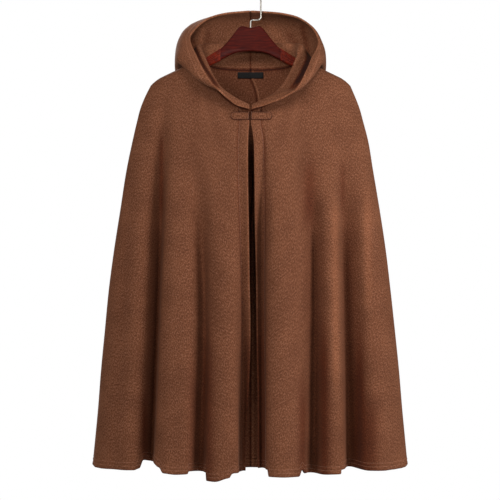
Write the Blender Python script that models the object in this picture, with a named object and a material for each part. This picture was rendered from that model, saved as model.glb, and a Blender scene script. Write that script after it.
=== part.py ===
"""Hooded open-front cape of brown wool cloth, hanging on a wooden clothes hanger.

Metres, +Z up. The front faces -Y, and the wearer's left side is at +X. The origin is the place
under the top of the hanger's hook where a rail carries it, so every height in the tables is a
drop below the rail, counted downwards.
"""

import math

import bmesh
import bpy
import numpy as np

COLLECTION = "hooded_cape"

WALL = 0.002  # the cloth
SEAM = 0.0003  # between two pieces that are sewn together
RIGHT, LEFT = 0, 1  # the wearer's sides, also the columns of the tables
SIGN = (-1.0, 1.0)
FRONT, BACK = 0, 1
FACING = (-1.0, 1.0)

# Shoulder line, where the cloth lies over the hanger's arms.
RIDGE_AT, RIDGE_DROP, RIDGE_SLOPE = 0.091, 0.1475, 0.48
RIDGE_END, END_ROUND = 0.186, 10.5  # past this place the line curves down to the side seam
RIDGE_RADIUS = 0.012  # of the cloth over the arm
SHOULDER = 0.211  # half the width at the shoulders
NECK_SIDE = 0.103  # where the neck seam crosses the shoulder line
HANG = 0.9  # the length over which the cape swells to its full depth
SWELL = (0.121, 0.106)  # of the front and the back, over that length
SWELL_POWER, PROFILE_POWER = 0.55, 2.2
ARM_FADE, FOLD_FADE = 12, 10  # powers by which the roll and the folds die out at the side seam
MID_DROP, HEM_DROP = 0.65, 1.02  # the levels of the fold tables

# Half the width by drop: wearer's right, wearer's left.
OUTLINE = np.array([
    (0.212, 0.2110, 0.2110),
    (0.233, 0.2215, 0.2200),
    (0.256, 0.2310, 0.2290),
    (0.290, 0.2400, 0.2385),
    (0.325, 0.2480, 0.2475),
    (0.388, 0.2610, 0.2580),
    (0.472, 0.2740, 0.2720),
    (0.556, 0.2870, 0.2846),
    (0.640, 0.2980, 0.2945),
    (0.724, 0.3060, 0.3035),
    (0.808, 0.3140, 0.3120),
    (0.892, 0.3205, 0.3190),
    (0.955, 0.3265, 0.3250),
    (1.050, 0.3360, 0.3340),
])

# The front edges by drop: how far the wearer's right and left edges stand off the middle.
EDGES = np.array([
    (0.150, 0.0002, 0.0002),
    (0.272, 0.0024, 0.0004),
    (0.286, 0.0024, 0.0004),
    (0.321, 0.0046, 0.0056),
    (0.390, 0.0048, 0.0074),
    (0.500, 0.0010, 0.0082),
    (0.620, -0.0028, 0.0090),
    (0.775, -0.0040, 0.0106),
    (0.860, 0.0000, 0.0124),
    (0.940, 0.0062, 0.0126),
    (1.050, 0.0080, 0.0126),
])

# The neck seam from the middle to the shoulder line: distance from the middle, drop.
NECK = (
    np.array([(0.0, 0.2670), (0.030, 0.2530), (0.057, 0.2320), (0.080, 0.2040), (0.095, 0.1750), (0.103, 0.1533)]),
    np.array([(0.0, 0.1760), (0.030, 0.1757), (0.060, 0.1735), (0.082, 0.1690), (0.095, 0.1610), (0.103, 0.1533)]),
)

# The hem by how far round it is from the middle (0) to the side seam (1): wearer's right, left.
HEM = (
    np.array([
        (0.00, 1.0085, 1.0070),
        (0.10, 1.0160, 1.0160),
        (0.24, 1.0300, 1.0200),
        (0.34, 1.0210, 1.0190),
        (0.48, 1.0160, 1.0160),
        (0.65, 1.0150, 1.0120),
        (0.85, 1.0120, 1.0130),
        (0.94, 1.0100, 1.0110),
        (1.00, 1.0030, 1.0030),
    ]),
    np.array([
        (0.00, 1.0140, 1.0140),
        (0.30, 1.0200, 1.0180),
        (0.70, 1.0150, 1.0170),
        (1.00, 1.0030, 1.0030),
    ]),
)

# Folds, one row for each trough: the drop where it starts; its distance from the middle there, at
# MID_DROP and at HEM_DROP; its depth at MID_DROP and HEM_DROP; its half-width towards the middle
# and towards the side; how far it lifts the hem.
FOLDS = {
    (FRONT, RIGHT): (
        (0.33, 0.024, 0.012, 0.010, 0.012, 0.032, 0.030, 0.030, 0.004),
        (0.34, 0.113, 0.098, 0.102, 0.034, 0.046, 0.028, 0.026, 0.010),
        (0.26, 0.190, 0.206, 0.221, 0.050, 0.062, 0.024, 0.030, 0.018),
        (0.24, 0.238, 0.262, 0.285, 0.008, 0.002, 0.014, 0.014, 0.000),
    ),
    (FRONT, LEFT): (
        (0.34, 0.031, 0.022, 0.022, 0.030, 0.034, 0.018, 0.026, 0.006),
        (0.42, 0.058, 0.086, 0.100, 0.009, 0.004, 0.022, 0.022, 0.002),
        (0.34, 0.128, 0.139, 0.140, 0.036, 0.048, 0.030, 0.028, 0.008),
        (0.32, 0.190, 0.213, 0.224, 0.030, 0.050, 0.026, 0.028, 0.012),
        (0.40, 0.262, 0.289, 0.302, 0.008, 0.004, 0.016, 0.016, 0.000),
    ),
    (BACK, RIGHT): (
        (0.36, 0.052, 0.064, 0.070, 0.026, 0.038, 0.028, 0.030, 0.008),
        (0.32, 0.128, 0.146, 0.158, 0.036, 0.050, 0.028, 0.030, 0.010),
        (0.28, 0.196, 0.224, 0.240, 0.034, 0.046, 0.028, 0.028, 0.010),
    ),
    (BACK, LEFT): (
        (0.38, 0.066, 0.078, 0.084, 0.030, 0.042, 0.030, 0.028, 0.008),
        (0.30, 0.142, 0.160, 0.170, 0.032, 0.046, 0.030, 0.030, 0.010),
        (0.29, 0.204, 0.232, 0.248, 0.036, 0.048, 0.026, 0.028, 0.012),
    ),
}
PINCH = 0.45  # how far a full trough draws its sides together
SEAM_CALM = 0.034  # folds die out this near the middle of the back

# The hood is a loft across the lines below, which follow the neck seam from the throat (0) over
# the shoulder line (0.5) to the middle of the back (1). Each row: place along the seam, distance
# from the middle, depth (behind the hanger is positive), drop. From the seam the cloth rises to
# the crest that stands round the neck, falls into the valley, turns at the fold that rests over
# the shoulders and hangs as a pouch at the back, and rises over the swell and the brow to the rim.
CREST = (
    np.array([
        (0.000, 0.0045, -0.0590, 0.2590),
        (0.136, 0.0300, -0.0610, 0.2430),
        (0.273, 0.0600, -0.0530, 0.2200),
        (0.386, 0.0790, -0.0400, 0.1900),
        (0.455, 0.0920, -0.0240, 0.1600),
        (0.500, 0.1000, -0.0100, 0.1400),
        (0.545, 0.1100, 0.0080, 0.1290),
        (0.636, 0.0980, 0.0360, 0.1220),
        (0.750, 0.0680, 0.0500, 0.1210),
        (1.000, 0.0000, 0.0560, 0.1230),
    ]),
    np.array([
        (0.000, 0.0045, -0.0590, 0.2590),
        (0.136, 0.0270, -0.0600, 0.2460),
        (0.273, 0.0580, -0.0520, 0.2230),
        (0.386, 0.0800, -0.0390, 0.1940),
        (0.455, 0.0930, -0.0230, 0.1630),
        (0.500, 0.1000, -0.0100, 0.1420),
        (0.545, 0.1080, 0.0060, 0.1290),
        (0.636, 0.0960, 0.0340, 0.1210),
        (0.750, 0.0670, 0.0490, 0.1200),
        (1.000, 0.0000, 0.0560, 0.1230),
    ]),
)
VALLEY = (
    np.array([
        (0.000, 0.0055, -0.0635, 0.2568),
        (0.136, 0.0320, -0.0665, 0.2415),
        (0.273, 0.0635, -0.0610, 0.2185),
        (0.386, 0.0880, -0.0520, 0.1970),
        (0.455, 0.1060, -0.0370, 0.1760),
        (0.500, 0.1240, -0.0130, 0.1545),
        (0.545, 0.1330, 0.0150, 0.1590),
        (0.636, 0.1200, 0.0520, 0.1900),
        (0.750, 0.0840, 0.0720, 0.2180),
        (1.000, 0.0000, 0.0820, 0.2360),
    ]),
    np.array([
        (0.000, 0.0055, -0.0635, 0.2568),
        (0.136, 0.0315, -0.0660, 0.2430),
        (0.273, 0.0660, -0.0600, 0.2230),
        (0.386, 0.0930, -0.0510, 0.2040),
        (0.455, 0.1100, -0.0370, 0.1810),
        (0.500, 0.1240, -0.0130, 0.1550),
        (0.545, 0.1330, 0.0150, 0.1590),
        (0.636, 0.1200, 0.0520, 0.1900),
        (0.750, 0.0840, 0.0720, 0.2180),
        (1.000, 0.0000, 0.0820, 0.2360),
    ]),
)
FOLD = (
    np.array([
        (0.000, 0.0062, -0.0680, 0.2572),
        (0.136, 0.0340, -0.0720, 0.2435),
        (0.273, 0.0670, -0.0690, 0.2225),
        (0.386, 0.0950, -0.0670, 0.2130),
        (0.455, 0.1180, -0.0560, 0.1980),
        (0.500, 0.1460, -0.0180, 0.1700),
        (0.545, 0.1560, 0.0200, 0.1730),
        (0.636, 0.1480, 0.0660, 0.2140),
        (0.750, 0.1020, 0.0960, 0.2620),
        (1.000, 0.0000, 0.1140, 0.2880),
    ]),
    np.array([
        (0.000, 0.0062, -0.0680, 0.2572),
        (0.136, 0.0345, -0.0715, 0.2455),
        (0.273, 0.0730, -0.0680, 0.2290),
        (0.386, 0.1060, -0.0630, 0.2200),
        (0.455, 0.1270, -0.0520, 0.1990),
        (0.500, 0.1460, -0.0180, 0.1710),
        (0.545, 0.1560, 0.0200, 0.1730),
        (0.636, 0.1480, 0.0660, 0.2140),
        (0.750, 0.1020, 0.0960, 0.2620),
        (1.000, 0.0000, 0.1140, 0.2880),
    ]),
)
SWELLING = (
    np.array([
        (0.000, 0.0065, -0.0710, 0.2592),
        (0.136, 0.0350, -0.0755, 0.2465),
        (0.273, 0.0690, -0.0760, 0.2240),
        (0.386, 0.0935, -0.0770, 0.2130),
        (0.455, 0.1190, -0.0700, 0.1920),
        (0.500, 0.1540, -0.0320, 0.1600),
        (0.545, 0.1590, 0.0120, 0.1500),
        (0.636, 0.1520, 0.0740, 0.1540),
        (0.750, 0.1120, 0.1080, 0.1620),
        (1.000, 0.0000, 0.1320, 0.1700),
    ]),
    np.array([
        (0.000, 0.0065, -0.0710, 0.2592),
        (0.136, 0.0355, -0.0750, 0.2485),
        (0.273, 0.0765, -0.0745, 0.2325),
        (0.386, 0.1100, -0.0725, 0.2190),
        (0.455, 0.1340, -0.0620, 0.1900),
        (0.500, 0.1530, -0.0320, 0.1640),
        (0.545, 0.1590, 0.0120, 0.1520),
        (0.636, 0.1520, 0.0740, 0.1540),
        (0.750, 0.1120, 0.1080, 0.1620),
        (1.000, 0.0000, 0.1320, 0.1700),
    ]),
)
BROW = (
    np.array([
        (0.000, 0.0066, -0.0725, 0.2615),
        (0.136, 0.0352, -0.0770, 0.2500),
        (0.273, 0.0692, -0.0812, 0.2250),
        (0.386, 0.0900, -0.0840, 0.2095),
        (0.455, 0.1120, -0.0740, 0.1840),
        (0.500, 0.1390, -0.0470, 0.1500),
        (0.545, 0.1470, -0.0160, 0.1230),
        (0.600, 0.1420, 0.0120, 0.1000),
        (0.660, 0.1300, 0.0360, 0.0850),
        (0.750, 0.1050, 0.0640, 0.0720),
        (0.870, 0.0630, 0.0870, 0.0650),
        (1.000, 0.0000, 0.0980, 0.0630),
    ]),
    np.array([
        (0.000, 0.0066, -0.0725, 0.2615),
        (0.136, 0.0355, -0.0768, 0.2520),
        (0.273, 0.0770, -0.0795, 0.2358),
        (0.386, 0.1080, -0.0800, 0.2155),
        (0.455, 0.1290, -0.0660, 0.1820),
        (0.500, 0.1450, -0.0420, 0.1520),
        (0.545, 0.1510, -0.0100, 0.1340),
        (0.600, 0.1490, 0.0140, 0.1160),
        (0.660, 0.1400, 0.0390, 0.0960),
        (0.750, 0.1130, 0.0690, 0.0770),
        (0.870, 0.0680, 0.0890, 0.0660),
        (1.000, 0.0000, 0.0980, 0.0630),
    ]),
)
RIM = (
    np.array([
        (0.000, 0.0064, -0.0728, 0.2640),
        (0.136, 0.0345, -0.0770, 0.2535),
        (0.273, 0.0670, -0.0855, 0.2245),
        (0.386, 0.0835, -0.0850, 0.2060),
        (0.455, 0.1010, -0.0700, 0.1760),
        (0.500, 0.1130, -0.0520, 0.1500),
        (0.545, 0.1220, -0.0330, 0.1300),
        (0.600, 0.1265, -0.0120, 0.1120),
        (0.660, 0.1180, 0.0080, 0.0960),
        (0.750, 0.0970, 0.0320, 0.0760),
        (0.870, 0.0590, 0.0560, 0.0600),
        (1.000, 0.0000, 0.0700, 0.0525),
    ]),
    np.array([
        (0.000, 0.0064, -0.0728, 0.2640),
        (0.136, 0.0350, -0.0768, 0.2550),
        (0.273, 0.0745, -0.0838, 0.2385),
        (0.386, 0.1010, -0.0820, 0.2135),
        (0.455, 0.1175, -0.0620, 0.1790),
        (0.500, 0.1280, -0.0430, 0.1540),
        (0.545, 0.1370, -0.0250, 0.1390),
        (0.600, 0.1440, -0.0050, 0.1200),
        (0.660, 0.1360, 0.0160, 0.0970),
        (0.750, 0.1110, 0.0400, 0.0740),
        (0.870, 0.0690, 0.0600, 0.0590),
        (1.000, 0.0000, 0.0700, 0.0525),
    ]),
)

# The grids.
NECK_COLUMNS, SHOULDER_COLUMNS = 14, 12
NECK_CROWDING = 0.72  # under 1 sets the columns closer towards the shoulder line
PANEL_ROWS = (22, 19)
FIRST_ROWS = [0.0, 0.003, 0.009]  # close to the top edge, where the cloth rolls over the arm
ROW_CROWDING, COLUMN_SPREAD = 1.35, 0.6  # powers that space the other rows and widen the columns downwards
FINE = 400  # samples of a line that is measured along
HOOD_STEPS = (4, 5, 4, 4, 3, 2)  # rows between the seam and the hood's lines, one after another
PROFILE_POINTS, PROFILE_STEP = 61, 0.0020  # at least this many points, and no further apart
SOFTENING = 18  # how often the hood's profiles are averaged to round their turns
THROAT_COLUMNS = 5  # where the roll is small, and its wall is laid off across the seam's direction
TAB_GRID, LABEL_GRID = (5, 8), (3, 9)

# Closure tabs and label, which lie on the cloth.
TAB_DROP, TAB_HEIGHT, TAB_WALL = 0.2775, 0.0170, 0.0016
TAB_FROM, TAB_TO = (0.0022, 0.0006), (0.0410, 0.0430)
LABEL_WIDTH, LABEL_HEIGHT, LABEL_DROP, LABEL_WALL = 0.055, 0.013, 0.1870, 0.0010
ON_CLOTH = 0.0003

# Hanger: a flat wooden one, with a ribbed rubber sleeve on each arm and a wire hook.
HANGER_DEPTH, HANGER_EDGE = 0.012, 0.0026
ARM_UNDER_RIDGE, ARM_HEIGHT, ARM_START, ARM_TIP = 0.0055, 0.0180, 0.095, 0.198
YOKE_TOP = np.array([(0.0, 0.0900), (0.025, 0.0900), (0.036, 0.1040), (0.048, 0.1190), (0.062, 0.1335), (0.078, 0.1440)])
YOKE_UNDER = np.array([(0.0, 0.1385), (0.030, 0.1425), (0.061, 0.1570), (0.078, 0.1652)])
SLEEVE_FROM, SLEEVE_TO, SLEEVE_WALL, SLEEVE_ROUND = 0.063, 0.150, 0.0009, 0.0022
SLEEVE_RIBS, RIB_HEIGHT = 7, 0.0005
SLEEVE_PLACES = np.linspace(SLEEVE_FROM, SLEEVE_TO, 5)
YOKE_STATIONS = 4  # rows of YOKE_TOP inside the sleeves
WIRE, HOOK_RADIUS = 0.0034, 0.0200
HOOK_STEP, HOOK_FOOT, HOOK_TIP_DROP = 0.0735, 0.0897, 0.0260
STEP_RADIUS = 0.006
BEND_STEPS, HOOK_STEPS, TIP_STEPS, TIP_STATIONS = 5, 15, 9, 4

PAINTS = {  # sRGB, roughness, metallic
    "cloth": ("#6F4532", 0.92, 0.0),
    "label": ("#171513", 0.80, 0.0),
    "mahogany": ("#4E1D15", 0.35, 0.0),
    "rubber": ("#9C3318", 0.45, 0.0),
    "nickel": ("#B9B7B4", 0.22, 1.0),
}


def smooth_at(at, table):
    """The table's other columns at `at`, on a smooth curve through its rows, held at its ends."""
    places, values = table[:, 0], table[:, 1:]
    slopes = np.gradient(values, places, axis=0)
    at = np.asarray(at, float)
    i = np.clip(np.searchsorted(places, at) - 1, 0, len(places) - 2)
    span = (places[i + 1] - places[i])[..., None]
    t = np.clip((at - places[i])[..., None] / span, 0.0, 1.0)
    rise = t * t * (3.0 - 2.0 * t)
    return (
        values[i] * (1.0 - rise)
        + values[i + 1] * rise
        + slopes[i] * span * t * (1.0 - t) ** 2
        - slopes[i + 1] * span * t * t * (1.0 - t)
    )


def eased(start, end, value):
    t = np.clip((value - start) / (end - start), 0.0, 1.0)
    return t * t * (3.0 - 2.0 * t)


def unit(vectors):
    return vectors / np.maximum(np.linalg.norm(vectors, axis=-1, keepdims=True), 1e-12)


def ridge_line(across):
    """The drop of the straight shoulder line at a distance from the middle."""
    return RIDGE_DROP + RIDGE_SLOPE * (across - RIDGE_AT)


def ridge_drop(across):
    """The drop of the shoulder line, curved down at its end."""
    return ridge_line(across) + END_ROUND * np.maximum(across - RIDGE_END, 0.0) ** 2


def trough(fold, across, drop):
    """How fully a point lies in a trough (0 to 1), its distance from the trough's middle, and its depth."""
    start, at_start, at_mid, at_hem, mid_depth, hem_depth, inner, outer, _ = fold
    path = np.array([(start, at_start), (MID_DROP, at_mid), (HEM_DROP, at_hem)])
    off = across - smooth_at(drop, path)[..., 0]
    width = np.where(off < 0.0, inner, outer)
    depth = mid_depth * eased(start, MID_DROP, drop)
    depth = depth + (hem_depth - mid_depth) * np.clip((drop - MID_DROP) / (HEM_DROP - MID_DROP), 0.0, 1.0)
    return np.exp(-((off / width) ** 2)), off, depth


def edge_at(face, side, drop):
    """Where the inner edge of a panel stands off the middle."""
    if face == BACK:
        return np.full(np.shape(drop), SEAM / 2.0)
    return smooth_at(drop, EDGES)[..., side]


def cloth_point(face, side, part, drop):
    """A point of the outside of the cape. part runs from 0 at the inner edge to 1 at the side seam."""
    part, drop = np.broadcast_arrays(np.asarray(part, float), np.asarray(drop, float))
    edge = edge_at(face, side, drop)
    half = smooth_at(drop, OUTLINE)[..., side]
    across = edge + part * (half - edge)
    below = np.maximum(drop - ridge_drop(across), 0.0)
    rolled = np.sqrt(RIDGE_RADIUS**2 - np.maximum(RIDGE_RADIUS - below, 0.0) ** 2)
    depth = rolled * np.sqrt(np.maximum(1.0 - part**ARM_FADE, 0.0))
    depth = depth + SWELL[face] * (below / HANG) ** SWELL_POWER * np.sqrt(
        np.maximum(1.0 - np.abs(part) ** PROFILE_POWER, 0.0)
    )
    calm = 1.0 - part**FOLD_FADE
    if face == BACK:
        calm = calm * eased(0.0, SEAM_CALM, across)
    shift = np.zeros_like(across)
    for fold in FOLDS[face, side]:
        full, off, fall = trough(fold, across, drop)
        depth = depth - fall * full * calm
        shift = shift - PINCH * np.minimum(fall / fold[4], 1.0) * off * full * calm
    return np.stack([SIGN[side] * (across + shift), FACING[face] * depth, -drop], axis=-1)


def cloth_normal(face, side, part, drop, step=0.0008):
    """The outward direction of the cape at a point."""
    here = cloth_point(face, side, part, drop)
    round_it = cloth_point(face, side, part + step, drop) - here
    down_it = cloth_point(face, side, part, drop + step) - here
    return unit(np.cross(round_it, down_it)) * SIGN[side] * FACING[face]


def length_along(line):
    """How far along a line each of its points is, from 0 to 1."""
    long = np.concatenate([[0.0], np.cumsum(np.linalg.norm(np.diff(line, axis=0), axis=1))])
    return long / long[-1]


def panel_grid(face, side):
    """The places of a panel's points: part across and drop, rows by columns from the top edge to the hem."""
    neck = np.linspace(0.0, NECK_SIDE / SHOULDER, FINE)
    seam = cloth_point(face, side, neck, smooth_at(neck * SHOULDER, NECK[face])[..., 0])
    neck = np.interp(np.linspace(0.0, 1.0, NECK_COLUMNS) ** NECK_CROWDING, length_along(seam), neck)
    top = np.concatenate([neck, np.linspace(NECK_SIDE / SHOULDER, 1.0, SHOULDER_COLUMNS)[1:]])
    fine = np.linspace(0.0, 1.0, FINE)
    ring = cloth_point(face, side, fine, HEM_DROP)
    hem = np.interp(np.linspace(0.0, 1.0, len(top)), length_along(ring), fine)
    even = np.arange(2, PANEL_ROWS[face]) / (PANEL_ROWS[face] - 1)
    down = np.concatenate([FIRST_ROWS, even**ROW_CROWDING])
    part = top + (hem - top) * down[:, None] ** COLUMN_SPREAD
    top_drop = np.where(
        top <= NECK_SIDE / SHOULDER + 1e-9,
        smooth_at(top * SHOULDER, NECK[face])[..., 0],
        ridge_drop(top * SHOULDER),
    )
    lift = np.zeros(len(top))
    across = hem * smooth_at(HEM_DROP, OUTLINE)[side]
    for fold in FOLDS[face, side]:
        lift = np.maximum(lift, trough(fold, across, HEM_DROP)[0] * fold[-1])
    hem_drop = smooth_at(hem, HEM[face])[..., side] - lift * (1.0 - hem**FOLD_FADE)
    drop = top_drop + (hem_drop - top_drop) * down[:, None]
    return part, drop


def panel_skins(face, side):
    """The outside and the inside points of a panel."""
    part, drop = panel_grid(face, side)
    points = cloth_point(face, side, part, drop)
    across, down = np.gradient(points, axis=1), np.gradient(points, axis=0)
    normals = unit(np.cross(across, down)) * SIGN[side] * FACING[face]
    points[:, -1, 1] = 0.0
    points[0, NECK_COLUMNS - 1 :, 1] = 0.0
    if face == BACK:
        normals[:, 0, 0] = 0.0
    border = np.concatenate([points[0, NECK_COLUMNS - 1 :], points[1:, -1]])
    forward = np.gradient(border, axis=0)
    outward = np.stack([-forward[:, 2], np.zeros(len(border)), forward[:, 0]], axis=-1) * SIGN[side]
    corner = len(part[0]) - NECK_COLUMNS + 1
    normals[0, NECK_COLUMNS - 1 :] = outward[:corner]
    normals[1:, -1] = outward[corner:]
    normals = unit(normals)
    apart = np.array([0.0, FACING[face] * SEAM / 2.0, 0.0])
    return points + apart, points + apart - normals * WALL, normals


def crowded(steps):
    """Fractions up to 1 that lie closer together near 0 and 1."""
    return 0.5 - 0.5 * np.cos(math.pi * np.arange(1, steps + 1) / steps)


def hood_lines(side):
    return [line[side] for line in (CREST, VALLEY, FOLD, SWELLING, BROW, RIM)]


def hood_skins(side):
    """The outside and the inside points of one half of the hood, from the neck seam to the rim."""
    front, _, front_normals = panel_skins(FRONT, side)
    back, _, back_normals = panel_skins(BACK, side)
    neck, behind = slice(0, NECK_COLUMNS), slice(NECK_COLUMNS - 2, None, -1)
    seam = np.concatenate([front[0, neck], back[0, behind]])
    leaning = np.concatenate([front_normals[0, neck], back_normals[0, behind]])
    seam[NECK_COLUMNS - 1, 1] = 0.0
    along = unit(np.gradient(seam, axis=0))
    upward = unit(np.cross(leaning, along)) * SIGN[side]
    halfway = 0.5 * SHOULDER / NECK_SIDE
    places = np.concatenate([
        panel_grid(FRONT, side)[0][0, neck] * halfway,
        1.0 - panel_grid(BACK, side)[0][0, behind] * halfway,
    ])
    stations = [seam + upward * SEAM]
    for line in hood_lines(side):
        across, depth, drop = np.moveaxis(smooth_at(places, line), -1, 0)
        stations.append(np.stack([SIGN[side] * np.maximum(across, SEAM / 2.0), depth, -drop], axis=-1))
    knots = np.arange(len(stations))
    rows = np.concatenate([[0.0]] + [i + crowded(n) for i, n in enumerate(HOOD_STEPS)])
    points = np.zeros((len(rows), len(seam), 3))
    for k in range(len(seam)):
        profile = np.array([station[k] for station in stations])
        turns = length_along(profile)
        long = np.linalg.norm(np.diff(profile, axis=0), axis=1).sum()
        fine = np.linspace(0.0, 1.0, max(PROFILE_POINTS, round(long / PROFILE_STEP)))
        profile = smooth_at(fine, np.column_stack([turns, profile]))
        for _ in range(SOFTENING):
            profile[1:-1] = (profile[:-2] + 2.0 * profile[1:-1] + profile[2:]) / 4.0
        table = np.column_stack([length_along(profile), profile])
        points[:, k] = smooth_at(np.interp(rows, knots, turns), table)
    points[:, -1, 0] = SIGN[side] * SEAM / 2.0
    up, round_it = np.gradient(points, axis=0), unit(np.gradient(points, axis=1))
    throat = eased(THROAT_COLUMNS, 0, np.arange(len(seam)))[:, None]
    round_it = round_it * (1.0 - throat) + along * throat
    normals = unit(np.cross(round_it, up)) * SIGN[side]
    normals[0] = leaning
    normals[:, -1, 0] = 0.0
    return points, points - unit(normals) * WALL


def paint(name):
    """A Principled material in the named finish."""
    if name in bpy.data.materials:
        return bpy.data.materials[name]
    colour, roughness, metallic = PAINTS[name]
    material = bpy.data.materials.new(name)
    material.use_nodes = True
    shader = material.node_tree.nodes["Principled BSDF"]
    channels = [int(colour[i : i + 2], 16) / 255.0 for i in (1, 3, 5)]
    linear = [c / 12.92 if c <= 0.04045 else ((c + 0.055) / 1.055) ** 2.4 for c in channels]
    shader.inputs["Base Color"].default_value = (*linear, 1.0)
    shader.inputs["Roughness"].default_value = roughness
    shader.inputs["Metallic"].default_value = metallic
    return material


def added(name, data, finish):
    """A new object of the cape's collection, with its finish."""
    item = bpy.data.objects.new(name, data)
    bpy.data.collections[COLLECTION].objects.link(item)
    data.materials.append(paint(finish))
    return item


def walled(name, outside, inside, finish):
    """A closed wall between two skins of the same grid."""
    rows, columns = outside.shape[:2]
    shell = bmesh.new()
    skins = [[[shell.verts.new(p) for p in row] for row in skin] for skin in (outside, inside)]
    for skin in skins:
        for r in range(rows - 1):
            for c in range(columns - 1):
                shell.faces.new((skin[r][c], skin[r][c + 1], skin[r + 1][c]))
                shell.faces.new((skin[r][c + 1], skin[r + 1][c + 1], skin[r + 1][c]))
    border = [(0, c) for c in range(columns)] + [(r, columns - 1) for r in range(1, rows)]
    border += [(rows - 1, c) for c in range(columns - 2, -1, -1)] + [(r, 0) for r in range(rows - 2, 0, -1)]
    for (r, c), (next_r, next_c) in zip(border, border[1:] + border[:1]):
        outer, inner = skins
        shell.faces.new((outer[r][c], outer[next_r][next_c], inner[next_r][next_c], inner[r][c]))
    bmesh.ops.recalc_face_normals(shell, faces=shell.faces)
    mesh = bpy.data.meshes.new(name)
    shell.to_mesh(mesh)
    shell.free()
    mesh.shade_smooth()
    mesh.set_sharp_from_angle(angle=math.radians(50))
    return added(name, mesh, finish)


def round_ended(height, length, steps):
    """The places along a strip with one round end, and its half-height at each."""
    radius = height / 2.0
    turn = np.linspace(0.0, math.pi / 2.0, steps)
    along = np.concatenate([[0.0], length - radius + radius * np.sin(turn[:-1])])
    half = np.concatenate([[radius], radius * np.cos(turn[:-1])])
    return along, half


def make_tab(side):
    """Half of the closure: a strip with a round end that lies on the front panel."""
    along, half = round_ended(TAB_HEIGHT, TAB_TO[side] - TAB_FROM[side], TAB_GRID[1])
    across = TAB_FROM[side] + along
    levels = np.linspace(-1.0, 1.0, TAB_GRID[0])[:, None]
    drop = TAB_DROP + levels * half
    edge = edge_at(FRONT, side, drop)
    part = (across - edge) / (smooth_at(drop, OUTLINE)[..., side] - edge)
    points = cloth_point(FRONT, side, part, drop) - np.array([0.0, SEAM / 2.0, 0.0])
    normals = cloth_normal(FRONT, side, part, drop)
    near, far = points + normals * ON_CLOTH, points + normals * (ON_CLOTH + TAB_WALL)
    walled("tab_" + ("right", "left")[side], far, near, "cloth")


def make_label():
    """A bare woven bar inside the back of the neck."""
    rows, columns = LABEL_GRID
    across = np.linspace(-0.5, 0.5, columns) * LABEL_WIDTH
    drop = LABEL_DROP + np.linspace(-0.5, 0.5, rows)[:, None] * LABEL_HEIGHT
    part = np.abs(across) / smooth_at(drop, OUTLINE)[..., LEFT]
    points = cloth_point(BACK, LEFT, part, drop)
    normals = cloth_normal(BACK, LEFT, part, drop)
    points[..., 0] *= np.sign(across)
    normals[..., 0] *= np.sign(across)
    near = points - normals * (WALL + ON_CLOTH)
    walled("neck_label", near, near - normals * LABEL_WALL, "label")


def make_curve(name, points, finish, cyclic=False, **settings):
    """A poly curve object through points, with its bevel or its extrusion."""
    curve = bpy.data.curves.new(name, "CURVE")
    spline = curve.splines.new("POLY")
    spline.points.add(len(points) - 1)
    for target, point in zip(spline.points, points):
        target.co = (*point, 1.0)
    spline.use_cyclic_u = cyclic
    for key, value in settings.items():
        setattr(curve, key, value)
    return added(name, curve, finish)


def arm_edges(across):
    """The drop of the hanger's upper and under edge at a distance from the middle."""
    edges = []
    for yoke, under_ridge in ((YOKE_TOP, ARM_UNDER_RIDGE), (YOKE_UNDER, ARM_UNDER_RIDGE + ARM_HEIGHT)):
        arm = [(x, ridge_line(x) + under_ridge) for x in (ARM_START, SLEEVE_TO, ARM_TIP)]
        edges.append(smooth_at(across, np.vstack([yoke, arm]))[..., 0])
    return edges


def make_hanger():
    """The wooden piece: one half of its outline, mirrored, with rounded edges."""
    tip = ARM_TIP - ARM_HEIGHT / 2.0
    across = np.concatenate([YOKE_TOP[:YOKE_STATIONS, 0], SLEEVE_PLACES, np.linspace(SLEEVE_TO, tip, TIP_STATIONS)[1:]])
    upper, under = arm_edges(across)
    lean = math.atan(RIDGE_SLOPE)
    radius = ARM_HEIGHT / 2.0 * math.cos(lean)
    middle = -(upper[-1] + under[-1]) / 2.0
    half = [(x, -d) for x, d in zip(across, upper)]
    for turn in np.linspace(math.pi / 2.0, -math.pi / 2.0, TIP_STEPS)[1:] - lean:
        half.append((tip + radius * math.cos(turn), middle + radius * math.sin(turn)))
    half += [(x, -d) for x, d in zip(across[-2::-1], under[-2::-1])]
    outline = half + [(-x, z) for x, z in half[-2:0:-1]]
    wood = make_curve(
        "hanger_wood", [(x, z, 0.0) for x, z in outline], "mahogany", cyclic=True,
        dimensions="2D", fill_mode="BOTH", extrude=HANGER_DEPTH / 2.0 - HANGER_EDGE,
        bevel_depth=HANGER_EDGE, bevel_resolution=2, offset=-HANGER_EDGE,
    )
    wood.rotation_euler = (math.pi / 2.0, 0.0, 0.0)


def bend(middle, radius, start, end, steps):
    """Points on an arc in the plane of the hanger: across, height."""
    return [
        (middle[0] + radius * math.cos(turn), middle[1] + radius * math.sin(turn))
        for turn in np.linspace(start, end, steps)
    ]


def make_hook():
    """The wire: up out of the wood, a step to one side, then up and over the rail's place."""
    middle = HOOK_RADIUS + WIRE / 2.0
    run = [(0.0, -HOOK_FOOT)]
    run += bend((STEP_RADIUS, -HOOK_STEP - STEP_RADIUS), STEP_RADIUS, math.pi, math.pi / 2.0, BEND_STEPS)
    second = (middle - STEP_RADIUS, -HOOK_STEP + STEP_RADIUS)
    run += bend(second, STEP_RADIUS, -math.pi / 2.0, 0.0, BEND_STEPS)
    run += bend((0.0, -HOOK_RADIUS), middle, 0.0, math.pi, HOOK_STEPS)
    run.append((-middle, -HOOK_TIP_DROP))
    make_curve(
        "hanger_hook", [(x, 0.0, z) for x, z in run], "nickel",
        dimensions="3D", bevel_depth=WIRE / 2.0, bevel_resolution=2, use_fill_caps=True,
    )


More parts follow.
